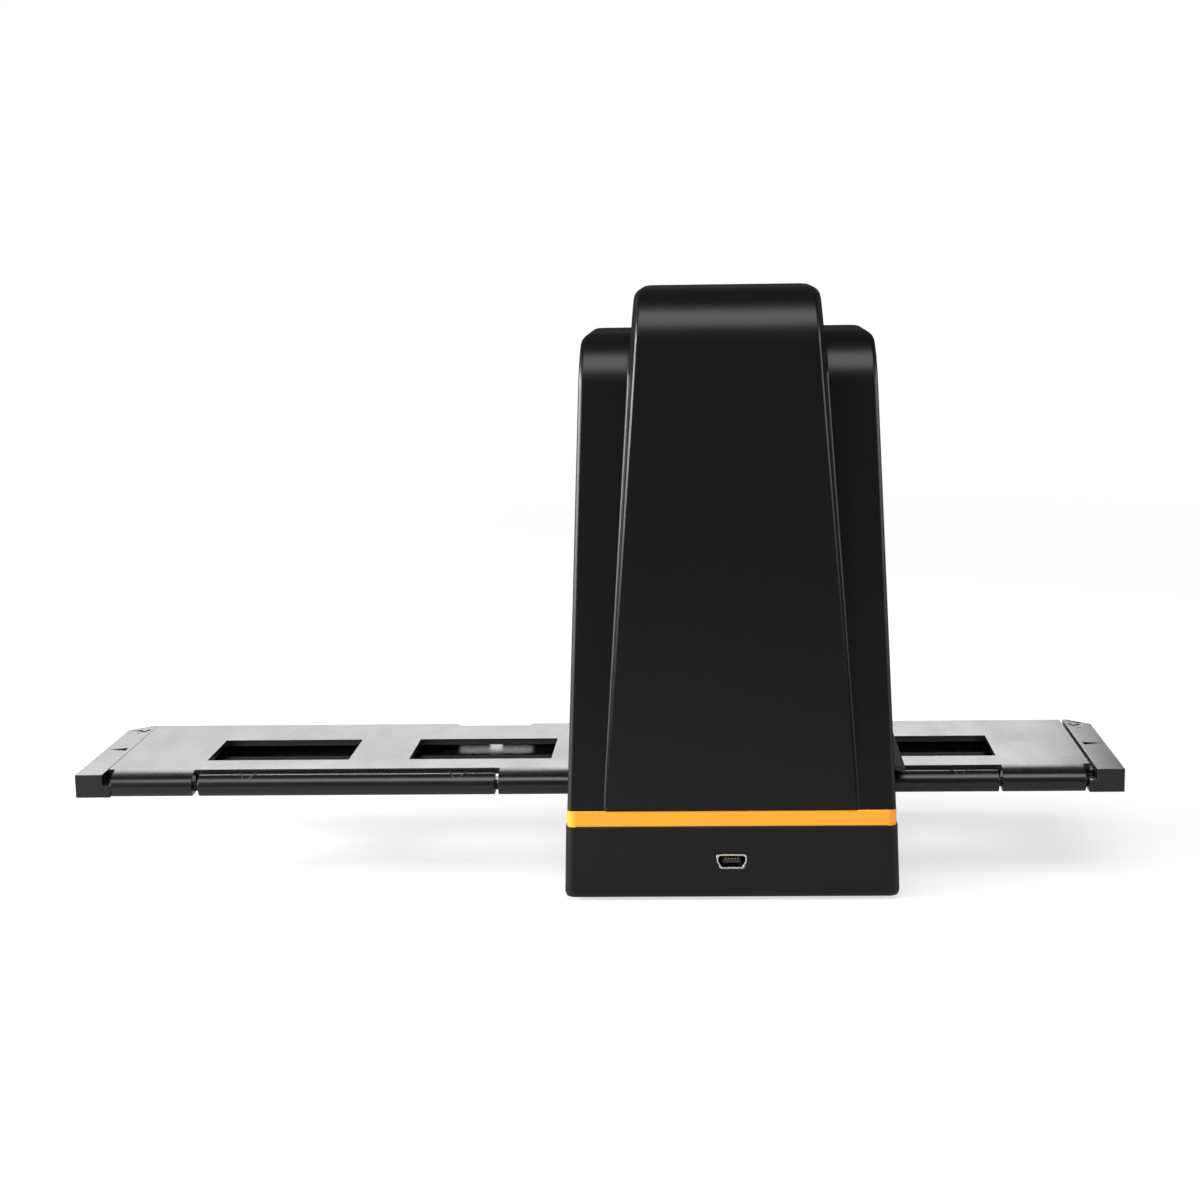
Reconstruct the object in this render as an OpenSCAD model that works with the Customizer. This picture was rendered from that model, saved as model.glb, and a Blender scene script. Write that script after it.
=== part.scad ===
// Film and slide scanner: a tower that photographs the frames of a long hinged holder slid through it.
// Origin: centre of the footprint, on the surface it stands on. +X runs along the holder,
// -Y is the side with the socket and +Y is the side with the scan button.

/* [Base] */
// Width of the base, across the socket side
base_w = 88; // [85:1:92]
// Depth of the base, from the socket side to the button side
base_d = 86; // [83:1:90]
// Height of the base case
base_h = 19.2; // [19:0.1:21]
// Lean of each base wall from bottom to top
base_draft = 0.55; // [0.3:0.05:0.8]
// Wall of the moulded case parts
wall = 2.2; // [1.8:0.1:2.4]
// Radius of the upright corners of the base
corner_r = 2.5; // [1.5:0.1:3.5]
// Radius of the bottom edge of the base
bottom_edge_r = 1.5; // [0.8:0.1:2]
// How far the feet hold the base off the table
foot_stand = 0.8; // [0.5:0.1:1.2]
// Diameter of a rubber foot
foot_dia = 9; // [7:0.5:10]

/* [Accent band] */
// Height of the coloured band between base and tower
band_h = 4.3; // [4:0.1:5]
// How far the band stands back from the top edge of the base
band_inset = 0.3; // [0.1:0.05:0.6]
// Thickness of the band
band_wall = 2.4; // [2:0.1:2.8]

/* [Tower] */
// Height of the shoulders above the band
shoulder_h = 123; // [120:1:130]
// How much the spine rises above the shoulders
spine_rise = 11.5; // [6:0.5:14]
// How far the foot of the tower stands back from the top edge of the base
tower_inset = 0.45; // [0.3:0.05:0.8]
// How much narrower each flank is at the top than at the foot
flank_lean = 4.7; // [4:0.05:7]
// How much each face of the shoulders leans in from foot to top
shoulder_lean = 11.5; // [9:0.5:13]
// Width of the spine at its foot
spine_foot_w = 66.7; // [60:0.1:70]
// How much narrower each side of the spine is at the top
spine_side_lean = 9.1; // [7:0.05:11]
// How much each face of the spine leans in from foot to top
spine_lean = 7.6; // [6:0.1:9]
// How far the foot of the spine stands proud of the shoulders
spine_proud = 0.3; // [0.1:0.05:0.6]
// Radius that rolls each face over into the top
crown_r = 15; // [12:0.5:18]
// Radius of the top corners and upright edges of the shoulders
shoulder_edge_r = 3; // [2.4:0.1:4]
// Radius of the top corners of the spine
spine_edge_r = 2.6; // [2.4:0.1:4]

/* [Film slot and flaps] */
// Height of the free slot above the holder
slot_headroom = 4; // [3.8:0.1:4.4]
// Half the depth of the slot that the flaps close
slot_half = 33.3; // [33:0.1:34]
// Length of a dust flap from its pin to its tip
flap_l = 9; // [8:0.1:9.4]
// Thickness of a dust flap
flap_t = 1.2; // [1:0.1:1.4]
// Height of the flap pins above the holder
flap_pin_rise = 3.9; // [3.6:0.1:4.1]
// Distance of the flap pins inside the outer face of the flank
flap_setback = 5; // [4.8:0.1:5.4]
// Diameter of a flap pin
flap_pin_dia = 1.6; // [1.2:0.1:1.6]

/* [Film holder] */
// Length of the holder
holder_l = 281; // [275:1:290]
// Width of the holder
holder_w = 57.6; // [57.2:0.1:57.8]
// Thickness of the closed holder
holder_t = 6.3; // [6.1:0.1:6.5]
// Where the middle of the holder stands from the middle of the tower
holder_x = -36; // [-60:1:10]
// Thickness of the lid
lid_t = 1.7; // [1.5:0.1:1.9]
// Thickness of the tray floor
tray_floor = 1.4; // [1.2:0.1:1.6]
// Length of a window
window_l = 39.1; // [36:0.1:42]
// Width of a window
window_w = 23; // [21:0.5:24]
// From the hinge edge to the windows
window_edge = 15.5; // [14:0.5:17]
// From the middle of the holder to the middle of the inner windows
window_inner = 32.8; // [31:0.1:34]
// From the inner windows to the outer windows
window_pitch = 55.9; // [53:0.1:57]
// Side of a slide pocket
pocket = 50.4; // [50.2:0.1:50.5]
// Length of the thick strip at each end of the tray
end_strip = 7.3; // [6:0.1:9]
// Chamfer of the two far corners
far_chamfer = 5.5; // [4:0.5:7]
// Diameter of the hinge barrel
barrel_dia = 6; // [5.2:0.1:6.2]
// Half the length of the middle lid knuckle
mid_knuckle = 26; // [20:0.5:30]
// Gap between neighbouring knuckles
knuckle_gap = 1.35; // [1:0.05:1.6]
// From the middle of the holder to the end of the tray knuckles
tray_knuckle_end = 107.4; // [100:0.1:112]
// End play that the lid has taken up towards one end
lid_shift = 0.4; // [0:0.05:0.5]
// Diameter of the hinge rod
rod_dia = 2; // [1.6:0.1:2.2]

/* [Scan button] */
// Diameter of the button
button_dia = 14; // [12:0.5:15]
// Height of the button's middle above the table
button_z = 128; // [124:1:132]
// Travel of the button
button_travel = 1.2; // [0.8:0.1:1.4]
// Diameter of the bezel's flange
bezel_dia = 19; // [18:0.5:20]
// Diameter of the light pipe
light_pipe_dia = 3; // [2:0.2:4]

/* [Boards] */
// Width of the main board
main_board_w = 48; // [46:1:49]
// Depth of the main board
main_board_d = 24.2; // [24:0.1:24.6]
// Thickness of every circuit board
board_t = 1.6; // [1.2:0.1:1.8]
// Width of the socket
socket_w = 7.9; // [7.7:0.1:8.1]
// Height of the socket
socket_h = 3.9; // [3.8:0.1:4]

/* [Light and camera] */
// Length of the light box, along the holder
light_box_l = 50; // [48:1:51]
// Width of the light box
light_box_w = 38; // [36:1:39]
// Height of the camera bracket above the table
bracket_z = 96; // [90:1:100]
// Diameter of the lens barrel
lens_dia = 14; // [12:0.5:15]
// Height of the sensor above the bracket
sensor_rise = 19.4; // [18.5:0.1:21]

/* [Hidden] */

$fn = 48;
round_fn = 32;
overrun = 1;
seat = 0.02;
run_gap = 0.25;
pin_play = 0.03;
part_gap = 0.3;
dark = "#1d1e1f";
orange = "#fdb437";
steel = "#b9bcc0";
board_green = "#1f5a3a";

// Levels of the stack of case parts
base_z0 = foot_stand;
base_z1 = base_z0 + base_h;
band_z1 = base_z1 + band_h;
shoulder_z1 = band_z1 + shoulder_h;
spine_z1 = shoulder_z1 + spine_rise;
base_top_w = base_w - 2 * base_draft;
base_top_d = base_d - 2 * base_draft;
band_w = base_top_w - 2 * band_inset;
band_d = base_top_d - 2 * band_inset;
tower_w = base_top_w - 2 * tower_inset;
tower_d = base_top_d - 2 * tower_inset;
spine_d = tower_d + 2 * spine_proud;
big = 2 * base_w;

// Case screws, their pillars in the base and their bosses in the tower
case_screw_in_x = 8;
case_screw_in_y = 5.6;
case_screw_x = base_w / 2 - case_screw_in_x;
case_screw_y = base_d / 2 - case_screw_in_y;
case_screw_r = 1.45;
case_head_r = 2.75;
case_head_h = 1.8;
case_pillar_r = 3.6;
tower_boss_r = 2.9;
tower_boss_h = 8.6;
case_head_recess = 0.9;
case_head_z = base_z0 + case_head_recess;
case_screw_tip = 1.2;
foot_recess = 1;
foot_in = 14.5;
foot_x = base_w / 2 - foot_in;
foot_y = base_d / 2 - foot_in;

// Holder, in its own frame: hinge edge on -Y, bottom at holder_z0
holder_lift = 0.8;
holder_z0 = band_z1 + holder_lift;
holder_z1 = holder_z0 + holder_t;
holder_y0 = -holder_w / 2;
lid_z0 = holder_z1 - lid_t;
hinge_r = barrel_dia / 2;
hinge_y = holder_y0 + hinge_r;
barrel_flat = 0.5;
hinge_z = holder_z0 + hinge_r - barrel_flat;
hinge_clear = 0.3;
lid_edge_cut = 5.2;
lid_edge_y = holder_y0 + lid_edge_cut;
far_wall = 1.1;
pocket_y1 = holder_w / 2 - far_wall;
pocket_y0 = pocket_y1 - pocket;
window_mid_y = holder_y0 + window_edge + window_w / 2;
window_places = [-window_inner - window_pitch, -window_inner, window_inner, window_inner + window_pitch];
notch_w = 2;
notch_h = 3;
lid_knuckle_start = tray_knuckle_end + knuckle_gap;
lid_end_gap = 0.1;
lid_l = holder_l - 2 * (end_strip + lid_shift + lid_end_gap);
rod_l = holder_l - 2 * end_strip;
arrow_l = 4.8;
arrow_w = 2.8;
arrow_depth = 0.7;
finger_l = 20;
finger_d = 2.4;
finger_slope = 1.6;
detent_notch_r = 2;
detent_notch_depth = 0.7;

// Dust flaps: each hangs from a pin above the slot and lies on the lid at rest
flank_slope = flank_lean / (shoulder_h - shoulder_edge_r);
function flank_x(z) = tower_w / 2 - flank_slope * (z - band_z1);
flap_z = holder_z1 + flap_pin_rise;
flap_x = flank_x(flap_z) - flap_setback;
flap_half = slot_half - part_gap;
flap_barrel_r = 1.3;
flap_rest_gap = 0.3;
flap_reach = sqrt(pow(flap_l, 2) + pow(flap_t / 2, 2));
flap_angle = asin((flap_pin_rise - flap_rest_gap) / flap_reach) - atan(flap_t / 2 / flap_l);
flap_pin_r = flap_pin_dia / 2;
flap_pin_past = 2.4;
flap_pin_half = slot_half + flap_pin_past;
flap_spring_half = 3.6;
flap_spring_r = 1.5;
ear_half = 1.9;
ear_h = 4.4;
ear_past = 2.9;
ear_y1 = slot_half + ear_past;

// Film stage, gate and detent
stage_t = 3;
stage_z1 = holder_z0 - run_gap;
stage_z0 = stage_z1 - stage_t;
stage_margin_x = 5.5;
stage_margin_y = 6;
stage_half_x = base_w / 2 - stage_margin_x;
stage_half_y = base_d / 2 - stage_margin_y;
stage_post_in = 9.5;
stage_post_x = foot_x;
stage_post_y = base_d / 2 - stage_post_in;
stage_post_r = 3;
rail_in = holder_w / 2 + run_gap;
rail_t = 3.9;
gate_gap = 2.1;
rail_half_x = flap_x - flap_l - gate_gap;
gate_lift = 0.6;
gate_t = 2.6;
gate_z0 = holder_z1 + gate_lift;
gate_z1 = gate_z0 + gate_t;
gate_screw_in = 3.5;
gate_screw_x = rail_half_x - gate_screw_in;
gate_screw_y = rail_in + rail_t / 2;
gate_land = 5.9;
light_l = 2 * (rail_half_x - gate_land);
light_w = 25;
detent_y = 24;
detent_ball_r = 1.5;
detent_boss_r = 3.4;
detent_boss_h = 6.2;
detent_floor = 1;
ball_gap = 0.1;
ball_z = holder_z0 - ball_gap - detent_ball_r;
detent_coil_r = 1;
detent_wire = 0.36;
detent_hold_share = 0.8;

// Scan button, built along +Y through the front face of the spine
spine_slope = spine_lean / (shoulder_h + spine_rise - crown_r);
function spine_y(z) = spine_d / 2 - spine_slope * (z - band_z1);
bezel_sink = 0.75;
bezel_seat_y = spine_y(button_z) - bezel_sink;
bezel_flange_t = 1.6;
bezel_tube_l = 3.3;
bezel_tube_t = 1.2;
button_clear = 0.3;
button_proud = 0.2;
button_face_y = bezel_seat_y + bezel_flange_t + button_proud;
button_dome_r = 40;
button_flange_t = 1.6;
button_flange_y1 = bezel_seat_y - bezel_tube_l - button_clear;
button_flange_y0 = button_flange_y1 - button_flange_t;
button_stem_r = 1.6;
button_stem_l = 0.4;
switch_w = 6;
switch_h = 3;
switch_cap_r = 1.7;
switch_cap_h = 0.9;
button_board_gap = switch_h + switch_cap_h + button_stem_l + button_travel + part_gap;
button_board_y1 = button_flange_y0 - button_board_gap;
button_board_half_w = 14;
button_board_below = 21;
button_board_above = 9;
button_board_z0 = button_z - button_board_below;
button_board_z1 = button_z + button_board_above;
button_post_in = 2.5;
button_post_x = button_board_half_w - button_post_in;
button_post_r = 2.2;
button_wire = 0.6;
button_coil_r = 5.2;
coil_turns = 4;
coil_rings = 12;
coil_sides = 6;
light_pipe_below = 16;
light_pipe_z = button_z - light_pipe_below;
light_pipe_end = 2.6;
light_pipe_flange_r = 2.4;
light_pipe_flange_t = 1;

// Main board and what stands on it
socket_mid_z = 10.7;
board_z1 = socket_mid_z - socket_h / 2;
board_z0 = board_z1 - board_t;
board_gap = 0.35;
socket_y0 = -base_d / 2 + base_draft / 2;
board_y0 = socket_y0 + wall + board_gap;
board_y1 = board_y0 + main_board_d;
board_mid_y = (board_y0 + board_y1) / 2;
board_screw_in = 3;
board_screw_x = main_board_w / 2 - board_screw_in;
board_screw_y = main_board_d / 2 - board_screw_in;
board_post_r = 2.4;
socket_l = 9.2;
socket_wall = 0.4;
socket_clear = 0.2;
socket_shoulder_share = 0.5;
socket_foot_share = 0.86;
connector_x = 7.9;
connector_w = 7;
connector_d = 2.6;
connector_h = 3.2;
connector_gap = 0.5;
cable_t = 0.3;
cable_play = 0.1;
cable_slot = 4;
sensor_cable_w = 5.4;
button_cable_w = 4;
button_cable_x = -12;
header_in = 2.6;
header_y = board_y1 - header_in;
header_pins = 4;
header_pitch = 2.54;
header_pin_half = 0.3;

// Light box under the film
optical_y = window_mid_y;
light_box_gap = 1.65;
light_box_z0 = board_z1 + light_box_gap;
light_box_wall = 1.5;
light_box_lug = 3.2;
light_box_post_x = light_box_l / 2 + light_box_lug;
light_box_post_y = 10;
diffuser_t = 1.3;
diffuser_z0 = stage_z0 - diffuser_t - seat;
light_box_z1 = diffuser_z0 - seat;
led_board_t = 1.2;
led_board_z0 = light_box_z0 + light_box_wall;
led_board_z1 = led_board_z0 + led_board_t;
led_rows = 3;
led_columns = 4;
led_side = 3;
led_h = 1;
led_pitch_x = 10;
led_pitch_y = 9.5;

// Camera over the film
bracket_t = 2.5;
bracket_margin = 3.7;
bracket_half_x = flank_x(bracket_z) - bracket_margin;
bracket_y0 = -20;
bracket_y1 = 18;
bracket_screw_in = 2.8;
bracket_screw_x = bracket_half_x - bracket_screw_in;
bracket_screw_y = 12;
lug_w = 7;
lug_h = 4;
lug_land = 2.6;
collar_h = 12;
collar_wall = 2;
lens_fit = 0.05;
lens_seat_h = 0.6;
lens_z0 = bracket_z + lens_seat_h;
lens_l = 15.6;
lens_wall = 1.6;
lens_bore_r = lens_dia / 2 - lens_wall;
lens_places_share = [0.12, 0.42, 0.72];
lens_glass_t = 2.4;
lens_curve_r = 16;
filter_t = 0.8;
filter_rim = 1;
filter_r = lens_dia / 2 - filter_rim;
sensor_z0 = bracket_z + sensor_rise;
sensor_t = 1.6;
sensor_w = 12;
sensor_d = 10;
sensor_board_z0 = sensor_z0 + sensor_t;
sensor_board_z1 = sensor_board_z0 + board_t;
sensor_board_half_x = 16.5;
sensor_board_half_y = 13;
standoff_in = 3;
standoff_x = sensor_board_half_x - standoff_in;
standoff_y = sensor_board_half_y - standoff_in;
standoff_r = 2.4;
tunnel_wall = 1.5;
tunnel_ledge = 2.4;
tunnel_foot_x = rail_half_x - tunnel_ledge;
tunnel_foot_y = 16.5;
tunnel_top = 9.5;

// Chips, plugs and the socket's tongue
processor_side = 12;
processor_t = 1.1;
processor_x = -12;
chip_in = 8.4;
chip_y = board_y1 - chip_in;
memory_w = 8;
memory_d = 10;
memory_x = 9.5;
capacitor_r = 2;
capacitor_h = 5;
capacitor_x = -14;
capacitor_pitch = 5;
plug_d = 3;
plug_h = 2;
plug_wall = 1;
button_plug_half = (button_cable_w + plug_wall) / 2;
tongue_w = 4.6;
tongue_t = 1.1;
tongue_start = 0.8;
tongue_back = 2.4;
contact_count = 5;
contact_pitch = 0.8;
contact_w = 0.4;
contact_t = 0.15;

// The sensor ribbon leaves a connector on the main board, climbs the rear wall and enters the sensor board
sensor_cable_y = board_y0 + connector_d / 2 + connector_gap;
sensor_cable_top_z = sensor_board_z1 + plug_h / 2;
sensor_plug_y = optical_y - sensor_board_half_y;
sensor_route = [
    [sensor_cable_y, board_z1 + 0.8], [sensor_cable_y, 30],
    [-spine_y(sensor_board_z0 - 6) + wall + 1.6, sensor_board_z0 - 6],
    [-spine_y(sensor_board_z0) + wall + 3.2, sensor_board_z0],
    [-spine_y(sensor_board_z0) + wall + 6, sensor_cable_top_z], [sensor_plug_y + 1.4, sensor_cable_top_z]
];
// The button ribbon runs down the front wall, under the light box and up to the main board
button_plug_z = button_board_z0 + 3;
button_cable_low_z = base_z0 + wall + 2.4;
button_plug_top = board_z1 + 0.7;
button_cable_in = 5.5;
button_cable_y = base_d / 2 - button_cable_in;
button_route = [
    [button_board_y1 - board_t - 1, button_plug_z], [button_board_y1 - board_t - 1, button_board_z0 - 3],
    [24, 100], [button_cable_y, 34], [button_cable_y, 12], [button_cable_y - 3, button_cable_low_z],
    [board_y1 + 7, button_cable_low_z],
    [board_y1 + 3, button_plug_top], [board_y1 - 1.4, button_plug_top]
];

// Screws
small_screw_r = 0.95;
small_head_r = 1.9;
small_head_h = 1.2;
stage_screw_l = 9;
gate_screw_l = 7;
board_screw_l = 5;
button_screw_l = 6;
sensor_screw_l = 6;
box_screw_l = 6;
bracket_screw_r = 1.3;
bracket_head_r = 2.4;
bracket_head_h = 1.6;
bracket_screw_l = 6;
cross_w = 0.7;
cross_depth_share = 0.6;
cross_l_share = 1.2;

module four(x, y) {
    for (sx = [-1, 1], sy = [-1, 1]) translate([sx * x, sy * y, 0]) children();
}

module block(lo, hi) {
    translate(lo) cube(hi - lo);
}

module along_y() {
    rotate([-90, 0, 0]) children();
}

module along_x() {
    rotate([0, 90, 0]) children();
}

// A flat plate with round corners, as a union of boxes and discs
module round_plate(w, d, r, h) {
    linear_extrude(h) {
        square([w - 2 * r, d], center = true);
        square([w, d - 2 * r], center = true);
        for (sx = [-1, 1], sy = [-1, 1]) translate([sx * (w / 2 - r), sy * (d / 2 - r)]) circle(r);
    }
}

// A screw that hangs from the plane it is driven into, head up
module screw(r, l, head_r, head_h) {
    difference() {
        union() {
            translate([0, 0, -l]) cylinder(r = r, h = l + head_h / 2);
            cylinder(r = head_r, h = head_h);
        }
        for (turn = [0, 90]) rotate([0, 0, turn])
            translate([-head_r * cross_l_share / 2, -cross_w / 2, head_h * (1 - cross_depth_share)])
                cube([head_r * cross_l_share, cross_w, head_h]);
    }
}

// A round wire wound into an open compression spring, standing on z = 0
module coil_spring(r, l, wire) {
    sides = coil_sides;
    steps = coil_turns * coil_rings;
    ring_points = [
        for (i = [0:steps], k = [0:sides - 1])
            let (a = 360 * i / coil_rings, b = 360 * k / sides, out = r + wire / 2 * cos(b))
                [out * cos(a), out * sin(a), wire / 2 * (1 + sin(b)) + (l - wire) * i / steps]
    ];
    side_faces = [
        for (i = [0:steps - 1], k = [0:sides - 1])
            let (k2 = (k + 1) % sides, a = i * sides + k, b = i * sides + k2, c = a + sides, d = b + sides)
                each [[a, c, b], [b, c, d]]
    ];
    ends = [[for (k = [0:sides - 1]) k], [for (k = [sides - 1:-1:0]) steps * sides + k]];
    polyhedron(ring_points, concat(side_faces, ends));
}

// Outline of a flat ribbon that follows the points of a path
function unit(v) = v / norm(v);
function left_of(v) = [-v[1], v[0]];
function path_dir(path, i) = unit(path[i + 1] - path[i]);
function path_side(path, i) =
    i == 0 ? left_of(path_dir(path, 0)) :
    i == len(path) - 1 ? left_of(path_dir(path, i - 1)) :
    let (a = left_of(path_dir(path, i - 1)), b = left_of(path_dir(path, i))) (a + b) / (1 + a * b);
module ribbon(path, x, w, t) {
    outline = concat(
        [for (i = [0:len(path) - 1]) path[i] + path_side(path, i) * t / 2],
        [for (i = [len(path) - 1:-1:0]) path[i] - path_side(path, i) * t / 2]
    );
    translate([x - w / 2, 0, 0]) rotate([90, 0, 90]) linear_extrude(w) polygon(outline);
}

// Base: a leaning box with round corners, grown inwards by inset for the inside
module base_block(inset, z_low, z_high, edge) {
    r = max(corner_r - inset, wall / 4);
    levels = [[z_low, edge], [z_low + edge * (1 - cos(45)), edge * (1 - sin(45))], [z_low + edge, 0]];
    hull() {
        for (level = levels)
            translate([0, 0, level[0]])
                four(base_w / 2 - inset - r, base_d / 2 - inset - r)
                    cylinder(r = max(r - level[1], wall / 8), h = seat, $fn = round_fn);
        translate([0, 0, z_high - seat])
            four(base_top_w / 2 - inset - r, base_top_d / 2 - inset - r)
                cylinder(r = r, h = seat, $fn = round_fn);
    }
}

module base_case() color(dark) difference() {
    union() {
        difference() {
            base_block(0, base_z0, base_z1, bottom_edge_r);
            base_block(wall, base_z0 + wall, base_z1 + seat, 0);
        }
        translate([0, 0, base_z0 + wall / 2]) {
            four(case_screw_x, case_screw_y) cylinder(r = case_pillar_r, h = base_h - wall / 2);
            four(stage_post_x, stage_post_y) cylinder(r = stage_post_r, h = stage_z0 - base_z0 - wall / 2);
            translate([0, optical_y, 0]) four(light_box_post_x, light_box_post_y)
                cylinder(r = board_post_r, h = light_box_z0 - base_z0 - wall / 2);
            translate([0, board_mid_y, 0]) four(board_screw_x, board_screw_y)
                cylinder(r = board_post_r, h = board_z0 - base_z0 - wall / 2);
        }
    }
    four(foot_x, foot_y) translate([0, 0, base_z0 - overrun])
        cylinder(d = foot_dia + 2 * pin_play, h = overrun + foot_recess);
    four(case_screw_x, case_screw_y) {
        translate([0, 0, base_z0 - overrun])
            cylinder(r = case_head_r + part_gap, h = overrun + case_head_recess + case_head_h);
        cylinder(r = case_screw_r + part_gap, h = base_z1 + overrun);
    }
    four(stage_post_x, stage_post_y) translate([0, 0, stage_z0 + stage_t - stage_screw_l - overrun])
        cylinder(r = small_screw_r + pin_play, h = stage_screw_l + overrun);
    translate([0, optical_y, light_box_z0 + light_box_wall - box_screw_l - overrun])
        four(light_box_post_x, light_box_post_y)
            cylinder(r = small_screw_r + pin_play, h = box_screw_l + overrun);
    translate([0, board_mid_y, base_z0 + wall]) four(board_screw_x, board_screw_y)
        cylinder(r = small_screw_r + pin_play, h = board_z1 - base_z0);
    translate([0, socket_y0 - overrun, 0]) socket_prism(socket_clear, wall + 2 * overrun);
}

module rubber_feet() color("#141414") four(foot_x, foot_y) {
    translate([0, 0, foot_stand / 2]) cylinder(d = foot_dia, h = foot_stand / 2 + foot_recess);
    cylinder(d1 = foot_dia - foot_stand, d2 = foot_dia, h = foot_stand / 2);
}

module accent_band() color(orange) difference() {
    translate([0, 0, base_z1]) {
        difference() {
            round_plate(band_w, band_d, corner_r, band_h);
            translate([0, 0, -overrun]) round_plate(band_w - 2 * band_wall, band_d - 2 * band_wall,
                                                    corner_r / 2, band_h + 2 * overrun);
        }
        intersection() {
            four(case_screw_x, case_screw_y) cylinder(r = case_pillar_r, h = band_h);
            round_plate(band_w, band_d, corner_r, band_h);
        }
    }
    four(case_screw_x, case_screw_y) translate([0, 0, base_z1 - overrun])
        cylinder(r = case_screw_r + part_gap, h = band_h + 2 * overrun);
}

// A leaning block whose faces roll over into its top, with round edges
module rolled_block(foot_w, foot_d, side_lean, face_lean, z_high, edge, inset) {
    roll = crown_r - inset;
    e = max(edge - inset, part_gap);
    top_x = foot_w / 2 - side_lean - inset;
    top_y = foot_d / 2 - face_lean - inset;
    z_low = band_z1 - (inset > 0 ? seat : 0);
    hull() {
        four(foot_w / 2 - inset - e, foot_d / 2 - inset - e) translate([0, 0, z_low])
            cylinder(r = e, h = seat, $fn = round_fn);
        for (sx = [-1, 1], sy = [-1, 1])
            translate([sx * (top_x - e), sy * (top_y - roll), z_high - inset - roll]) along_x()
                rotate_extrude($fn = round_fn * 2) translate([roll - e, 0]) circle(e, $fn = round_fn / 2);
    }
}

module tower_block(inset) {
    rolled_block(tower_w, tower_d, flank_lean, shoulder_lean, shoulder_z1, shoulder_edge_r, inset);
    rolled_block(spine_foot_w, spine_d, spine_side_lean, spine_lean, spine_z1, spine_edge_r, inset);
}

// One half of the tower shell with its bosses, ears and lugs; side is -1 for the socket side
module tower_half(side) {
    difference() {
        union() {
            intersection() {
                difference() {
                    tower_block(0);
                    tower_block(wall);
                }
                translate([-big / 2, side > 0 ? 0 : -big, 0]) cube([big, big, big * 2]);
            }
            for (sx = [-1, 1]) {
                translate([sx * case_screw_x, side * case_screw_y, band_z1])
                    cylinder(r = tower_boss_r, h = tower_boss_h);
                mirror([sx < 0 ? 1 : 0, 0, 0]) mirror([0, side < 0 ? 1 : 0, 0]) tower_fittings();
            }
        }
        block([-big, -slot_half, band_z1 - overrun], [big, slot_half, holder_z1 + slot_headroom]);
        for (sx = [-1, 1]) {
            translate([sx * case_screw_x, side * case_screw_y, band_z1 - overrun])
                cylinder(r = case_screw_r + pin_play, h = tower_boss_h + overrun - case_screw_tip);
            translate([sx * flap_x, -big / 4, flap_z]) along_y()
                cylinder(r = flap_pin_r + pin_play, h = big / 2);
        }
    }
}

// Ear for a flap pin and lug for the camera bracket, on the +X +Y quarter
module tower_fittings() {
    ear_x1 = flank_x(flap_z + ear_h / 2) - wall / 3;
    block([flap_x - ear_half, slot_half + seat, flap_z - ear_h / 2], [ear_x1, ear_y1, flap_z + ear_h / 2]);
    lug_x1 = flank_x(bracket_z) - wall / 3;
    difference() {
        block([bracket_screw_x - lug_land, bracket_screw_y - lug_w / 2, bracket_z - lug_h],
              [lug_x1, bracket_screw_y + lug_w / 2, bracket_z]);
        translate([bracket_screw_x, bracket_screw_y, bracket_z - lug_h - overrun])
            cylinder(r = bracket_screw_r + pin_play, h = lug_h + 2 * overrun);
    }
}

module rear_shell() color(dark) tower_half(-1);

module front_shell() color(dark) difference() {
    union() {
        tower_half(1);
        for (sx = [-1, 1]) translate([sx * button_post_x, button_board_y1, button_z]) along_y()
            cylinder(r = button_post_r, h = spine_y(button_z) - wall / 2 - button_board_y1);
    }
    translate([0, button_flange_y0 - overrun, button_z]) along_y()
        cylinder(d = button_dia + 2 * (button_clear + bezel_tube_t + pin_play), h = crown_r);
    translate([0, bezel_seat_y, button_z]) along_y() cylinder(d = bezel_dia + part_gap, h = crown_r);
    translate([0, button_flange_y0, light_pipe_z]) along_y()
        cylinder(d = light_pipe_dia + 2 * pin_play, h = crown_r);
    for (sx = [-1, 1]) translate([sx * button_post_x, button_board_y1 - overrun, button_z]) along_y()
        cylinder(r = small_screw_r + pin_play, h = button_screw_l + overrun);
}

module scan_button() color("#9fa3a6") translate([0, 0, button_z]) along_y() {
    intersection() {
        translate([0, 0, button_flange_y0]) cylinder(d = button_dia, h = button_face_y - button_flange_y0);
        translate([0, 0, button_face_y - button_dome_r]) sphere(button_dome_r, $fn = 96);
    }
    translate([0, 0, button_flange_y0]) cylinder(d = button_dia + 2 * bezel_tube_t, h = button_flange_t);
    translate([0, 0, button_flange_y0 - button_stem_l]) cylinder(r = button_stem_r, h = button_stem_l + seat);
}

module button_bezel() color("#c9cbcd") translate([0, bezel_seat_y, button_z]) along_y() difference() {
    union() {
        cylinder(d = bezel_dia, h = bezel_flange_t);
        translate([0, 0, -bezel_tube_l])
            cylinder(d = button_dia + 2 * (button_clear + bezel_tube_t), h = bezel_tube_l + seat);
    }
    translate([0, 0, -bezel_tube_l - overrun])
        cylinder(d = button_dia + 2 * button_clear, h = bezel_tube_l + bezel_flange_t + 2 * overrun);
}

module button_spring() color(steel) translate([0, button_board_y1 + seat, button_z]) along_y()
    coil_spring(button_coil_r, button_board_gap - 2 * seat, button_wire);

module button_board() color(board_green) difference() {
    block([-button_board_half_w, button_board_y1 - board_t, button_board_z0],
          [button_board_half_w, button_board_y1, button_board_z1]);
    for (sx = [-1, 1]) translate([sx * button_post_x, button_board_y1 - board_t - overrun, button_z]) along_y()
        cylinder(r = small_screw_r + pin_play, h = board_t + 2 * overrun);
}

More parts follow.
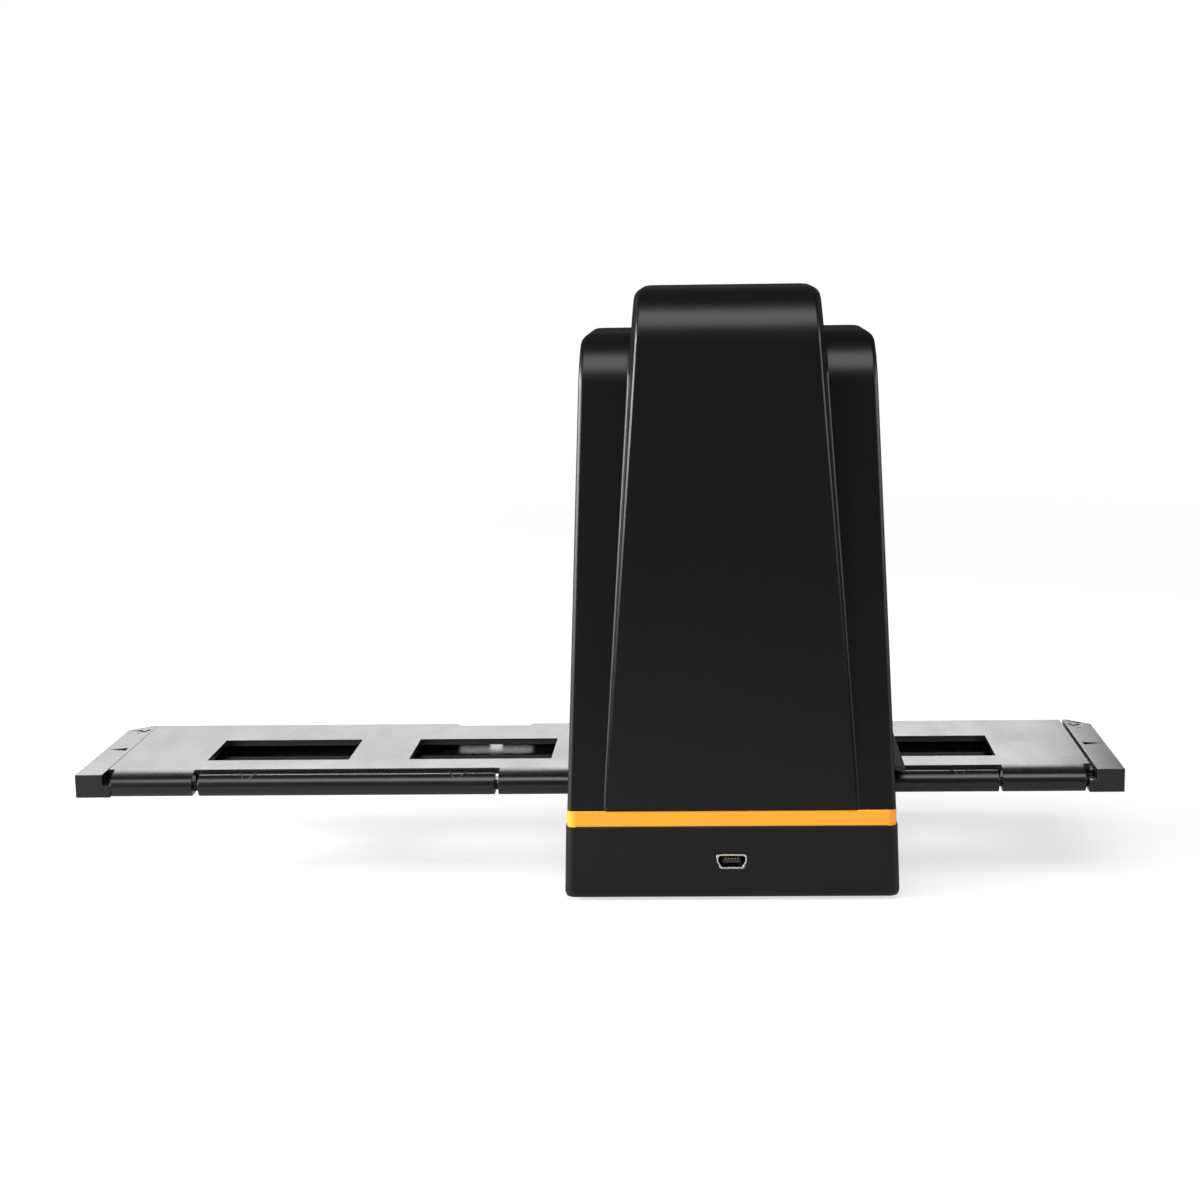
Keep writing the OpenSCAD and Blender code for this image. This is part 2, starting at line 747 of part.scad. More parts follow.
module tact_switch() color("#2b2b2b") translate([0, button_board_y1, button_z]) {
    block([-switch_w / 2, 0, -switch_w / 2], [switch_w / 2, switch_h, switch_w / 2]);
    translate([0, switch_h - seat, 0]) along_y() cylinder(r = switch_cap_r, h = switch_cap_h + seat);
}

module status_led() color("#e8efe8") translate([0, button_board_y1, light_pipe_z])
    block([-led_side / 2, 0, -led_side / 2], [led_side / 2, led_h, led_side / 2]);

module light_pipe() color("#dfe9f0") translate([0, 0, light_pipe_z]) along_y() {
    face_y = spine_y(light_pipe_z) + pin_play * 2;
    flange_y = spine_y(light_pipe_z) - wall - part_gap - light_pipe_flange_t;
    translate([0, 0, button_board_y1 + light_pipe_end])
        cylinder(d = light_pipe_dia, h = face_y - button_board_y1 - light_pipe_end);
    translate([0, 0, flange_y]) cylinder(r = light_pipe_flange_r, h = light_pipe_flange_t);
}

module main_board() color(board_green) difference() {
    block([-main_board_w / 2, board_y0, board_z0], [main_board_w / 2, board_y1, board_z1]);
    translate([0, board_mid_y, board_z0 - overrun]) four(board_screw_x, board_screw_y)
        cylinder(r = small_screw_r + pin_play, h = board_t + 2 * overrun);
}

module image_processor() color("#151515") translate([processor_x, chip_y - processor_side / 4, board_z1])
    block([-processor_side / 2, -processor_side / 2, 0],
          [processor_side / 2, processor_side / 2, processor_t]);

module memory_chip() color("#151515") translate([memory_x, chip_y, board_z1])
    block([-memory_w / 2, -memory_d / 2, 0], [memory_w / 2, memory_d / 2, processor_t]);

module capacitors() color("#8d9296") for (i = [0, 1])
    translate([capacitor_x + i * capacitor_pitch, board_y0 + capacitor_r * 2, board_z1])
        cylinder(r = capacitor_r, h = capacitor_h);

module sensor_cable() color("#e9e4d6") ribbon(sensor_route, connector_x, sensor_cable_w, cable_t);
module button_cable() color("#e9e4d6") ribbon(button_route, button_cable_x, button_cable_w, cable_t);

module ribbon_connectors() color("#efe9dc") {
    difference() {
        block([connector_x - connector_w / 2, sensor_cable_y - connector_d / 2, board_z1],
              [connector_x + connector_w / 2, sensor_cable_y + connector_d / 2, board_z1 + connector_h]);
        ribbon(sensor_route, connector_x, sensor_cable_w + 2 * cable_play, cable_t + 2 * cable_play);
    }
    difference() {
        block([connector_x - connector_w / 2, sensor_plug_y, sensor_board_z1],
              [connector_x + connector_w / 2, sensor_plug_y + plug_d, sensor_board_z1 + plug_h]);
        ribbon(sensor_route, connector_x, sensor_cable_w + 2 * cable_play, cable_t + 2 * cable_play);
    }
    difference() {
        block([button_cable_x - button_cable_w / 2 - plug_wall, board_y1 - plug_d, board_z1],
              [button_cable_x + button_cable_w / 2 + plug_wall, board_y1, board_z1 + plug_h * 3 / 4]);
        ribbon(button_route, button_cable_x, button_cable_w + 2 * cable_play, cable_t + 2 * cable_play);
    }
    difference() {
        block([button_cable_x - button_plug_half, button_board_y1 - board_t - plug_h, button_board_z0],
              [button_cable_x + button_plug_half, button_board_y1 - board_t,
               button_board_z0 + plug_d + plug_wall]);
        ribbon(button_route, button_cable_x, button_cable_w + 2 * cable_play, cable_t + 2 * cable_play);
    }
}

// Socket outline: full width above, drawn in below, extruded along +Y from the wall's outer face
function socket_outline(grow) = let (
    w = socket_w / 2 + grow, h = socket_h / 2 + grow, foot = socket_w / 2 * socket_foot_share + grow,
    mid = h * (1 - 2 * socket_shoulder_share), cut = socket_h / 8
) [
    [-w + cut, h], [w - cut, h], [w, h - cut], [w, mid], [foot, mid - cut * 2], [foot, -h + cut],
    [foot - cut, -h], [-foot + cut, -h], [-foot, -h + cut], [-foot, mid - cut * 2], [-w, mid], [-w, h - cut]
];
module socket_prism(grow, l) {
    translate([0, l, socket_mid_z]) rotate([90, 0, 0]) linear_extrude(l) polygon(socket_outline(grow));
}

module socket_shell() color("#cfd2d4") translate([0, socket_y0, 0]) difference() {
    socket_prism(0, socket_l);
    translate([0, -overrun, 0]) socket_prism(-socket_wall, socket_l + overrun - socket_wall);
}

module socket_tongue() color("#1a1a1a") translate([0, socket_y0, socket_mid_z]) {
    block([-tongue_w / 2, tongue_start, -tongue_t / 2],
          [tongue_w / 2, socket_l - socket_wall - seat, tongue_t / 2]);
    translate([0, socket_l - socket_wall - tongue_back, -socket_mid_z])
        socket_prism(-socket_wall - pin_play, tongue_back - seat);
}

module socket_contacts() color("#d9b45a") translate([0, socket_y0, socket_mid_z])
    for (i = [0:contact_count - 1]) translate([(i - (contact_count - 1) / 2) * contact_pitch, 0, 0])
        block([-contact_w / 2, tongue_start + seat, tongue_t / 2],
              [contact_w / 2, socket_l - socket_wall - tongue_back - seat, tongue_t / 2 + contact_t]);

module backlight_header() color("#1b1b1b") translate([0, header_y, board_z1]) {
    strip_w = header_pins * header_pitch;
    block([-strip_w / 2, -header_pitch / 2, 0],
          [strip_w / 2, header_pitch / 2, light_box_gap - seat]);
    for (i = [0:header_pins - 1]) translate([(i - (header_pins - 1) / 2) * header_pitch, 0, 0])
        block([-header_pin_half, -header_pin_half, 0],
              [header_pin_half, header_pin_half, led_board_z1 + led_h - board_z1]);
}

module light_box() color("#f2f2ee") difference() {
    union() {
        translate([0, optical_y, light_box_z0]) {
            block([-light_box_l / 2, -light_box_w / 2, 0],
                  [light_box_l / 2, light_box_w / 2, light_box_z1 - light_box_z0]);
            four(light_box_post_x, light_box_post_y) cylinder(r = board_post_r, h = light_box_wall);
            block([-light_box_post_x, -light_box_post_y - board_post_r, 0],
                  [light_box_post_x, light_box_post_y + board_post_r, light_box_wall]);
        }
    }
    translate([0, optical_y, light_box_z0 + light_box_wall])
        block([-light_box_l / 2 + light_box_wall, -light_box_w / 2 + light_box_wall, 0],
              [light_box_l / 2 - light_box_wall, light_box_w / 2 - light_box_wall, base_h]);
    translate([0, optical_y, light_box_z0 - overrun]) four(light_box_post_x, light_box_post_y)
        cylinder(r = small_screw_r + pin_play, h = light_box_wall + 2 * overrun);
    header_slot();
}

// Room for the header pins through the floor of the light box and the light board
module header_slot() {
    slot_w = header_pins * header_pitch / 2;
    block([-slot_w, header_y - header_pin_half * 2, light_box_z0 - overrun],
          [slot_w, header_y + header_pin_half * 2, light_box_z1]);
}

module led_board() color("#f4f4f4") difference() {
    half_l = light_box_l / 2 - light_box_wall - part_gap;
    half_w = light_box_w / 2 - light_box_wall - part_gap;
    translate([0, optical_y, led_board_z0]) block([-half_l, -half_w, 0], [half_l, half_w, led_board_t]);
    header_slot();
}

module white_leds() color("#fff6c8") translate([0, optical_y + led_side / 2, led_board_z1])
    for (i = [0:led_columns - 1], j = [0:led_rows - 1])
        translate([(i - (led_columns - 1) / 2) * led_pitch_x, (j - (led_rows - 1) / 2) * led_pitch_y, 0])
            block([-led_side / 2, -led_side / 2, 0], [led_side / 2, led_side / 2, led_h]);

module diffuser_plate() color("#fafafa") translate([0, optical_y, diffuser_z0])
    block([-light_box_l / 2, -light_box_w / 2, 0], [light_box_l / 2, light_box_w / 2, diffuser_t]);

module film_stage() color("#232425") difference() {
    union() {
        block([-stage_half_x, -stage_half_y, stage_z0], [stage_half_x, stage_half_y, stage_z1]);
        for (sy = [0, 1]) mirror([0, sy, 0])
            block([-rail_half_x, rail_in, stage_z0], [rail_half_x, rail_in + rail_t, gate_z0]);
        translate([0, detent_y, stage_z1 - stage_t / 2 - detent_boss_h])
            cylinder(r = detent_boss_r, h = detent_boss_h);
    }
    four(case_screw_x, case_screw_y) translate([0, 0, stage_z0 - overrun])
        cylinder(r = case_pillar_r + part_gap, h = stage_t + 2 * overrun);
    four(stage_post_x, stage_post_y) translate([0, 0, stage_z0 - overrun]) {
        cylinder(r = small_screw_r + pin_play, h = stage_t + 2 * overrun);
        translate([0, 0, overrun + stage_t - small_head_h])
            cylinder(r = small_head_r + part_gap / 2, h = stage_t);
    }
    four(gate_screw_x, gate_screw_y) translate([0, 0, gate_z0 - gate_screw_l])
        cylinder(r = small_screw_r + pin_play, h = gate_t + gate_screw_l);
    translate([0, detent_y, stage_z1 - stage_t / 2 - detent_boss_h + detent_floor])
        cylinder(r = detent_ball_r + 2 * pin_play, h = big);
    block([-light_l / 2, optical_y - light_w / 2, stage_z0 - overrun],
          [light_l / 2, optical_y + light_w / 2, stage_z1 + overrun]);
    block([connector_x - connector_w / 2, -big, stage_z0 - overrun],
          [connector_x + connector_w / 2, board_y0 + cable_slot, stage_z1 + overrun]);
    block([button_cable_x - button_plug_half, -board_y0 - cable_slot, stage_z0 - overrun],
          [button_cable_x + button_plug_half, big, stage_z1 + overrun]);
}

module upper_gate() color("#232425") difference() {
    block([-rail_half_x, -rail_in - rail_t, gate_z0], [rail_half_x, rail_in + rail_t, gate_z1]);
    block([-light_l / 2, optical_y - light_w / 2, gate_z0 - overrun],
          [light_l / 2, optical_y + light_w / 2, gate_z1 + overrun]);
    four(gate_screw_x, gate_screw_y) translate([0, 0, gate_z0 - overrun])
        cylinder(r = small_screw_r + pin_play, h = gate_t + 2 * overrun);
}

module detent_ball() color(steel) translate([0, detent_y, ball_z]) sphere(detent_ball_r);

module detent_spring() color(steel) {
    spring_z0 = stage_z1 - stage_t / 2 - detent_boss_h + detent_floor;
    translate([0, detent_y, spring_z0 + seat])
        coil_spring(detent_coil_r, ball_z - detent_ball_r * detent_hold_share - spring_z0, detent_wire);
}

// A flap turns on the pin at its root and slopes down onto the lid; its barrel is open where the spring sits
module flap_stretch(y0, y1, barrel) translate([0, y0, 0]) along_y() linear_extrude(y1 - y0) difference() {
    union() {
        if (barrel) circle(flap_barrel_r);
        rotate(flap_angle) translate([flap_pin_r, -flap_t / 2]) square([flap_l - flap_pin_r, flap_t]);
    }
    circle(barrel ? flap_pin_r + 2 * pin_play : flap_spring_r + part_gap);
}

module dust_flap(pin_x) translate([pin_x, 0, flap_z]) {
    open_half = flap_spring_half + part_gap;
    flap_stretch(-flap_half, -open_half, true);
    flap_stretch(-open_half, open_half, false);
    flap_stretch(open_half, flap_half, true);
}

module right_dust_flap() color("#3a3c3d") dust_flap(flap_x);
module left_dust_flap() color("#3a3c3d") dust_flap(-flap_x);

module flap_pins() color(steel) for (sx = [-1, 1]) translate([sx * flap_x, -flap_pin_half, flap_z]) along_y()
    cylinder(r = flap_pin_r, h = 2 * flap_pin_half);

module flap_springs() color(steel) for (sx = [-1, 1])
    translate([sx * flap_x, -flap_spring_half, flap_z]) along_y() difference() {
        cylinder(r = flap_spring_r, h = 2 * flap_spring_half);
        translate([0, 0, -overrun]) cylinder(r = flap_pin_r + pin_play, h = 2 * (flap_spring_half + overrun));
    }

// A four-sided funnel from a wide foot to a narrow top
module funnel(foot_x_half, foot_y_half, top_half, z_low, z_high) {
    h = z_high - z_low;
    intersection() {
        translate([0, foot_y_half, z_low]) rotate([90, 0, 0]) linear_extrude(2 * foot_y_half)
            polygon([[-foot_x_half, 0], [foot_x_half, 0], [top_half, h], [-top_half, h]]);
        translate([-foot_x_half, 0, z_low]) rotate([90, 0, 90]) linear_extrude(2 * foot_x_half)
            polygon([[-foot_y_half, 0], [foot_y_half, 0], [top_half, h], [-top_half, h]]);
    }
}

module light_tunnel() color("#1a1a1a") translate([0, optical_y, 0]) difference() {
    funnel(tunnel_foot_x, tunnel_foot_y, tunnel_top, gate_z1, bracket_z - part_gap / 2);
    funnel(tunnel_foot_x - tunnel_wall, tunnel_foot_y - tunnel_wall, tunnel_top - tunnel_wall,
           gate_z1 - seat, bracket_z);
}

module camera_bracket() color("#232425") difference() {
    union() {
        block([-bracket_half_x, bracket_y0, bracket_z], [bracket_half_x, bracket_y1, bracket_z + bracket_t]);
        translate([0, optical_y, bracket_z + bracket_t - seat]) {
            cylinder(r = lens_dia / 2 + collar_wall, h = collar_h);
            four(standoff_x, standoff_y)
                cylinder(r = standoff_r, h = sensor_board_z0 - bracket_z - bracket_t + seat);
        }
    }
    translate([0, optical_y, bracket_z - overrun]) cylinder(r = lens_dia / 2 + lens_fit, h = big);
    four(bracket_screw_x, bracket_screw_y) translate([0, 0, bracket_z - overrun])
        cylinder(r = bracket_screw_r + pin_play, h = bracket_t + 2 * overrun);
    translate([0, optical_y, sensor_board_z1 - sensor_screw_l - overrun]) four(standoff_x, standoff_y)
        cylinder(r = small_screw_r + pin_play, h = sensor_screw_l + overrun);
}

module lens_barrel() color("#101010") translate([0, optical_y, lens_z0]) difference() {
    cylinder(r = lens_dia / 2, h = lens_l);
    translate([0, 0, -overrun]) cylinder(r = lens_bore_r, h = lens_l + 2 * overrun);
    translate([0, 0, lens_l - filter_t]) cylinder(r = filter_r + pin_play, h = filter_t + overrun);
}

module lens_elements() color("#a8c8d8") for (share = lens_places_share)
    translate([0, optical_y, lens_z0 + share * lens_l]) intersection() {
        cylinder(r = lens_bore_r - pin_play, h = lens_glass_t);
        translate([0, 0, lens_glass_t - lens_curve_r]) sphere(lens_curve_r, $fn = 96);
        translate([0, 0, lens_curve_r]) sphere(lens_curve_r, $fn = 96);
    }

module infrared_filter() color("#9fd0c8") translate([0, optical_y, lens_z0 + lens_l - filter_t])
    cylinder(r = filter_r, h = filter_t);

module image_sensor() color("#2a2d35") translate([0, optical_y, sensor_z0])
    block([-sensor_w / 2, -sensor_d / 2, 0], [sensor_w / 2, sensor_d / 2, sensor_t]);

module sensor_board() color(board_green) translate([0, optical_y, sensor_board_z0]) difference() {
    block([-sensor_board_half_x, -sensor_board_half_y, 0],
          [sensor_board_half_x, sensor_board_half_y, board_t]);
    four(standoff_x, standoff_y) translate([0, 0, -overrun])
        cylinder(r = small_screw_r + pin_play, h = board_t + 2 * overrun);
}

module case_screws() color(steel) {
    under_head = case_head_z + case_head_h;
    four(case_screw_x, case_screw_y) translate([0, 0, under_head]) mirror([0, 0, 1])
        screw(case_screw_r, band_z1 + tower_boss_h - 2 * case_screw_tip - under_head, case_head_r, case_head_h);
}

module stage_screws() color(steel) four(stage_post_x, stage_post_y) translate([0, 0, stage_z1 - small_head_h])
    screw(small_screw_r, stage_screw_l - small_head_h, small_head_r, small_head_h - part_gap);

module gate_screws() color(steel) four(gate_screw_x, gate_screw_y) translate([0, 0, gate_z1])
    screw(small_screw_r, gate_t + gate_screw_l - overrun, small_head_r, small_head_h);

module board_screws() color(steel) {
    translate([0, board_mid_y, board_z1]) four(board_screw_x, board_screw_y)
        screw(small_screw_r, board_screw_l, small_head_r, small_head_h);
    translate([0, optical_y, light_box_z0 + light_box_wall]) four(light_box_post_x, light_box_post_y)
        screw(small_screw_r, box_screw_l, small_head_r, small_head_h);
    translate([0, optical_y, sensor_board_z1]) four(standoff_x, standoff_y)
        screw(small_screw_r, sensor_screw_l, small_head_r, small_head_h);
    for (sx = [-1, 1]) translate([sx * button_post_x, button_board_y1 - board_t, button_z]) rotate([90, 0, 0])
        screw(small_screw_r, board_t + button_screw_l - overrun, small_head_r, small_head_h);
}

module bracket_screws() color(steel) four(bracket_screw_x, bracket_screw_y)
    translate([0, 0, bracket_z + bracket_t])
        screw(bracket_screw_r, bracket_screw_l, bracket_head_r, bracket_head_h);

// Holder outline seen from above, with its far corners cut off
module holder_plan(l) {
    half_l = l / 2;
    half_w = holder_w / 2;
    cut = far_chamfer - (holder_l - l) / 2;
    c = max(cut, seat);
    polygon([[-half_l, -half_w], [half_l, -half_w], [half_l, half_w - c], [half_l - c, half_w],
             [-half_l + c, half_w], [-half_l, half_w - c]]);
}

module finger_notches() {
    for (sx = [-1, 1]) translate([sx * window_inner, holder_w / 2, 0])
        polygon([[-finger_l / 2 - finger_slope, overrun], [-finger_l / 2, -finger_d], [finger_l / 2, -finger_d],
                 [finger_l / 2 + finger_slope, overrun]]);
}

module window_cuts() {
    for (x = window_places) translate([x, window_mid_y]) square([window_l, window_w], center = true);
}

module at_holder() {
    translate([holder_x, 0, 0]) children();
}

// Section of the hinge barrel, cut flush with the underside of the tray
module barrel_section() difference() {
    circle(hinge_r);
    translate([-hinge_r - overrun, -hinge_r - overrun]) square([2 * (hinge_r + overrun), overrun + barrel_flat]);
}

module tray_barrel(x0, x1) {
    translate([x0, hinge_y, hinge_z]) rotate([90, 0, 90]) linear_extrude(x1 - x0) barrel_section();
    block([x0, hinge_y, holder_z0], [x1, hinge_y + hinge_r + hinge_clear + seat, hinge_z]);
}

module holder_tray() color("#2e3131") at_holder() difference() {
    tray_y0 = hinge_y + hinge_r + hinge_clear;
    half_l = holder_l / 2;
    union() {
        difference() {
            translate([0, 0, holder_z0]) linear_extrude(holder_t) holder_plan(holder_l);
            // room for the lid
            block([-half_l + end_strip, -holder_w, lid_z0 - run_gap / 2],
                  [half_l - end_strip, holder_w, holder_z1 + overrun]);
            // room for the hinge, notched down beside the end strips
            block([-half_l + end_strip + notch_w, -holder_w, holder_z0 - overrun],
                  [half_l - end_strip - notch_w, tray_y0, holder_z1]);
            block([-half_l + end_strip, -holder_w, holder_z1 - notch_h],
                  [half_l - end_strip, tray_y0, holder_z1]);
            translate([0, 0, holder_z0 - overrun]) linear_extrude(holder_t + 2 * overrun) {
                window_cuts();
                finger_notches();
            }
            // arrows in the end strips
            for (sx = [0, 1]) mirror([sx, 0, 0])
                translate([half_l - end_strip / 2, 0, holder_z1 - arrow_depth]) linear_extrude(holder_t)
                    polygon([[-arrow_l / 2, -arrow_w / 2], [arrow_l / 2, 0], [-arrow_l / 2, arrow_w / 2]]);
            // detent notches under the floor
            for (x = window_places) translate([x, detent_y, holder_z0 - detent_notch_r + detent_notch_depth])
                sphere(detent_notch_r);
        }
        for (sx = [0, 1]) mirror([sx, 0, 0]) tray_barrel(mid_knuckle + knuckle_gap, tray_knuckle_end);
    }
    // slide pockets
    for (x = window_places) block([x - pocket / 2, pocket_y0, holder_z0 + tray_floor],
                                  [x + pocket / 2, pocket_y1, holder_z1]);
    translate([-half_l, hinge_y, hinge_z]) along_x() translate([0, 0, end_strip - overrun])
        cylinder(r = rod_dia / 2 + pin_play, h = rod_l + 2 * overrun);
}

// Section of the lid where it carries a knuckle: the plate slopes down onto the barrel
module knuckle_section() {
    edge = [lid_edge_y - hinge_y, holder_z1 - hinge_z];
    touch = atan2(edge.y, edge.x) + acos(hinge_r / norm(edge));
    barrel_section();
    polygon([[0, 0], (hinge_r - seat) * [cos(touch), sin(touch)], edge, edge + [seat, 0],
             edge + [seat, -lid_t]]);
}

module lid_knuckle(x0, x1) {
    translate([x0, hinge_y, hinge_z]) rotate([90, 0, 90]) linear_extrude(x1 - x0) knuckle_section();
}

module holder_lid() color("#35393a") at_holder() translate([-lid_shift, 0, 0]) difference() {
    lid_half = lid_l / 2;
    knuckle_end = holder_l / 2 - end_strip - notch_w;
    union() {
        difference() {
            translate([0, 0, lid_z0]) linear_extrude(lid_t) difference() {
                holder_plan(lid_l);
                translate([-holder_l, holder_y0 - overrun]) square([2 * holder_l, lid_edge_cut + overrun]);
                translate([lid_shift, 0]) {
                    window_cuts();
                    finger_notches();
                }
                for (sx = [0, 1]) mirror([sx, 0]) translate([knuckle_end - lid_shift, holder_y0 - overrun])
                    square([holder_l, overrun + hinge_r * 2]);
            }
            // hollow that clears the tray's barrel, round the same hinge line
            translate([-holder_l / 2, hinge_y, hinge_z]) along_x()
                cylinder(r = hinge_r + hinge_clear, h = holder_l);
        }
        lid_knuckle(-mid_knuckle, mid_knuckle);
        for (sx = [0, 1]) mirror([sx, 0, 0]) lid_knuckle(lid_knuckle_start, knuckle_end - lid_shift);
    }
    translate([-holder_l / 2, hinge_y, hinge_z]) along_x()
        cylinder(r = rod_dia / 2 + 2 * pin_play, h = holder_l);
}

module hinge_rod() color(steel) at_holder() translate([-rod_l / 2, hinge_y, hinge_z]) along_x()
    cylinder(d = rod_dia, h = rod_l);

base_case();
rubber_feet();
accent_band();
rear_shell();
front_shell();
scan_button();
button_bezel();
button_spring();
button_board();
tact_switch();
status_led();
light_pipe();
main_board();
image_processor();
memory_chip();
capacitors();
ribbon_connectors();
socket_shell();
socket_tongue();
socket_contacts();
backlight_header();
light_box();
led_board();
white_leds();
diffuser_plate();
film_stage();
upper_gate();
detent_ball();
detent_spring();
right_dust_flap();
left_dust_flap();
flap_pins();
flap_springs();
light_tunnel();
camera_bracket();
lens_barrel();
lens_elements();
infrared_filter();
image_sensor();
sensor_board();
sensor_cable();
button_cable();
case_screws();
stage_screws();
gate_screws();
board_screws();
bracket_screws();
holder_tray();
holder_lid();
hinge_rod();
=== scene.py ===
import math

import bmesh
import bpy
from mathutils import Matrix, Vector


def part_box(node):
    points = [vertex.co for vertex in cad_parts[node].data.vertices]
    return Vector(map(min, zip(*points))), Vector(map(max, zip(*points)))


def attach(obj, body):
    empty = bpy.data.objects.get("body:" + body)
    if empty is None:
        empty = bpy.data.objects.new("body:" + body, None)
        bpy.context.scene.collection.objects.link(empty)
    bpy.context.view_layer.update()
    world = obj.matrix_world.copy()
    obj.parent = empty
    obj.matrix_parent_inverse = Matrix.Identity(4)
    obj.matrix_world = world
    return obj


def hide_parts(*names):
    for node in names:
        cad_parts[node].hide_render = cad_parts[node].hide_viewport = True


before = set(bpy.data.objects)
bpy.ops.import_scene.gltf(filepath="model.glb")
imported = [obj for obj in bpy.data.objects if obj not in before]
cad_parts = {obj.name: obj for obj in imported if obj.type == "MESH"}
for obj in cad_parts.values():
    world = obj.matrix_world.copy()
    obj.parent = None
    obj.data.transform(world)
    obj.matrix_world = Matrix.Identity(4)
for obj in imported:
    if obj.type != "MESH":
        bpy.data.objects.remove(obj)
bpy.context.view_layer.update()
mm = 0.001


# ---- Camera ----
# The camera stands level with the top of the tower, half a metre away, and looks down a little.
# The lens is shifted sideways because the photograph's frame isn't centred on its axis.
camera_place = Vector((-2.3, -567.0, 171.4)) * mm
camera_yaw = math.radians(-1.70)
camera_pitch = math.radians(9.85)
camera_roll = math.radians(-0.78)
focal_px = 2078
frame_px = 1200
axis_px = 660

camera = bpy.data.objects.new("camera", bpy.data.cameras.new("camera"))
bpy.context.scene.collection.objects.link(camera)
camera.data.lens = camera.data.sensor_width * focal_px / frame_px
camera.data.shift_x = (frame_px / 2 - axis_px) / frame_px
camera.data.clip_start = 10 * mm
camera.data.clip_end = 20
camera.matrix_world = (Matrix.Translation(camera_place)
                       @ Matrix.Rotation(-camera_yaw, 4, "Z")
                       @ Matrix.Rotation(math.pi / 2 - camera_pitch, 4, "X")
                       @ Matrix.Rotation(camera_roll, 4, "Z"))
bpy.context.scene.camera = camera
bpy.context.scene.view_settings.view_transform = "Standard"


# ---- Floor ----
# A translucent white sheet on a table, lit a little from below so that shadows stay faint. It
# fades into the white of the studio towards its rim, and throws only its own light back.
def linear(colour):
    """A colour written as sRGB hex, as the linear values that the shaders mix."""
    parts = [int(colour[i:i + 2], 16) / 255 for i in (1, 3, 5)]
    return [p / 12.92 if p <= 0.04045 else ((p + 0.055) / 1.055) ** 2.4 for p in parts] + [1]


def add_node(tree, kind, inputs=None, **settings):
    """Adds a node to a tree, sets it, and fills or links its inputs."""
    node = tree.nodes.new(kind)
    for name, value in settings.items():
        setattr(node, name, value)
    for name, value in (inputs or {}).items():
        if isinstance(value, bpy.types.NodeSocket):
            tree.links.new(value, node.inputs[name])
        else:
            node.inputs[name].default_value = value
    return node


def new_material(name):
    """An empty material, its tree and its output."""
    material = bpy.data.materials.new(name)
    material.use_nodes = True
    material.node_tree.nodes.clear()
    output = add_node(material.node_tree, "ShaderNodeOutputMaterial")
    return material, material.node_tree, output


sharp_angle = math.radians(38)


def new_object(bm, name, material):
    """Turns a bmesh into a smooth shaded object with one material."""
    mesh = bpy.data.meshes.new(name)
    bm.to_mesh(mesh)
    bm.free()
    mesh.materials.append(material)
    for polygon in mesh.polygons:
        polygon.use_smooth = True
    mesh.set_sharp_from_angle(angle=sharp_angle)
    thing = bpy.data.objects.new(name, mesh)
    bpy.context.scene.collection.objects.link(thing)
    return thing


floor_r = 2.4
fade_from, fade_to = 0.3, 0.9
lit_share = 0.65
glow_cast, glow_seen = 0.25, 1.0
paper_white = linear("#f4f4f3")

paper, tree, output = new_material("matt_white_paper")
place = add_node(tree, "ShaderNodeTexCoord")
reach = add_node(tree, "ShaderNodeVectorMath", {0: place.outputs["Object"]}, operation="LENGTH")
fade = add_node(tree, "ShaderNodeMapRange", {"Value": reach.outputs["Value"],
                "From Min": fade_from, "From Max": fade_to, "To Min": lit_share},
                interpolation_type="SMOOTHSTEP")
sheet = add_node(tree, "ShaderNodeBsdfDiffuse", {"Color": paper_white})
path = add_node(tree, "ShaderNodeLightPath")
power = add_node(tree, "ShaderNodeMapRange", {"Value": path.outputs["Is Camera Ray"],
                 "To Min": glow_cast, "To Max": glow_seen})
glow = add_node(tree, "ShaderNodeEmission", {"Color": (1, 1, 1, 1),
                "Strength": power.outputs["Result"]})
blend = add_node(tree, "ShaderNodeMixShader", {0: fade.outputs["Result"],
                 1: sheet.outputs["BSDF"], 2: glow.outputs["Emission"]})
tree.links.new(blend.outputs["Shader"], output.inputs["Surface"])

bm = bmesh.new()
bmesh.ops.create_circle(bm, cap_ends=True, segments=64, radius=floor_r)
floor = new_object(bm, "floor", paper)


# ---- Studio light ----
# A wide softbox above the camera lights the crowns of the tower, one on each side draws the
# bright lines along its edges, and a low panel behind shines along the top of the holder.
def softbox(name, place, size, radiance, aim=(0, 0, 0.08)):
    """A rectangular lamp that faces the aim point, as bright per area as its radiance."""
    lamp = bpy.data.lights.new(name, "AREA")
    lamp.shape = "RECTANGLE"
    lamp.size, lamp.size_y = size
    lamp.energy = radiance * math.pi * size[0] * size[1]
    thing = bpy.data.objects.new(name, lamp)
    bpy.context.scene.collection.objects.link(thing)
    facing = (Vector(place) - Vector(aim)).to_track_quat("Z", "Y")
    thing.matrix_world = Matrix.LocRotScale(Vector(place), facing, None)
    thing.visible_camera = False
    return thing


softbox("top_softbox", place=(0, -0.55, 1.05), size=(1.1, 0.62), radiance=5.0)
softbox("left_softbox", place=(-1.05, -0.22, 0.33), size=(1.2, 0.36), radiance=28.0)
softbox("right_softbox", place=(1.05, -0.25, 0.33), size=(1.2, 0.36), radiance=6.0)
back_panel = softbox("back_panel", place=(-0.62, 3.0, 1.22), size=(2.75, 1.12), radiance=4.0)

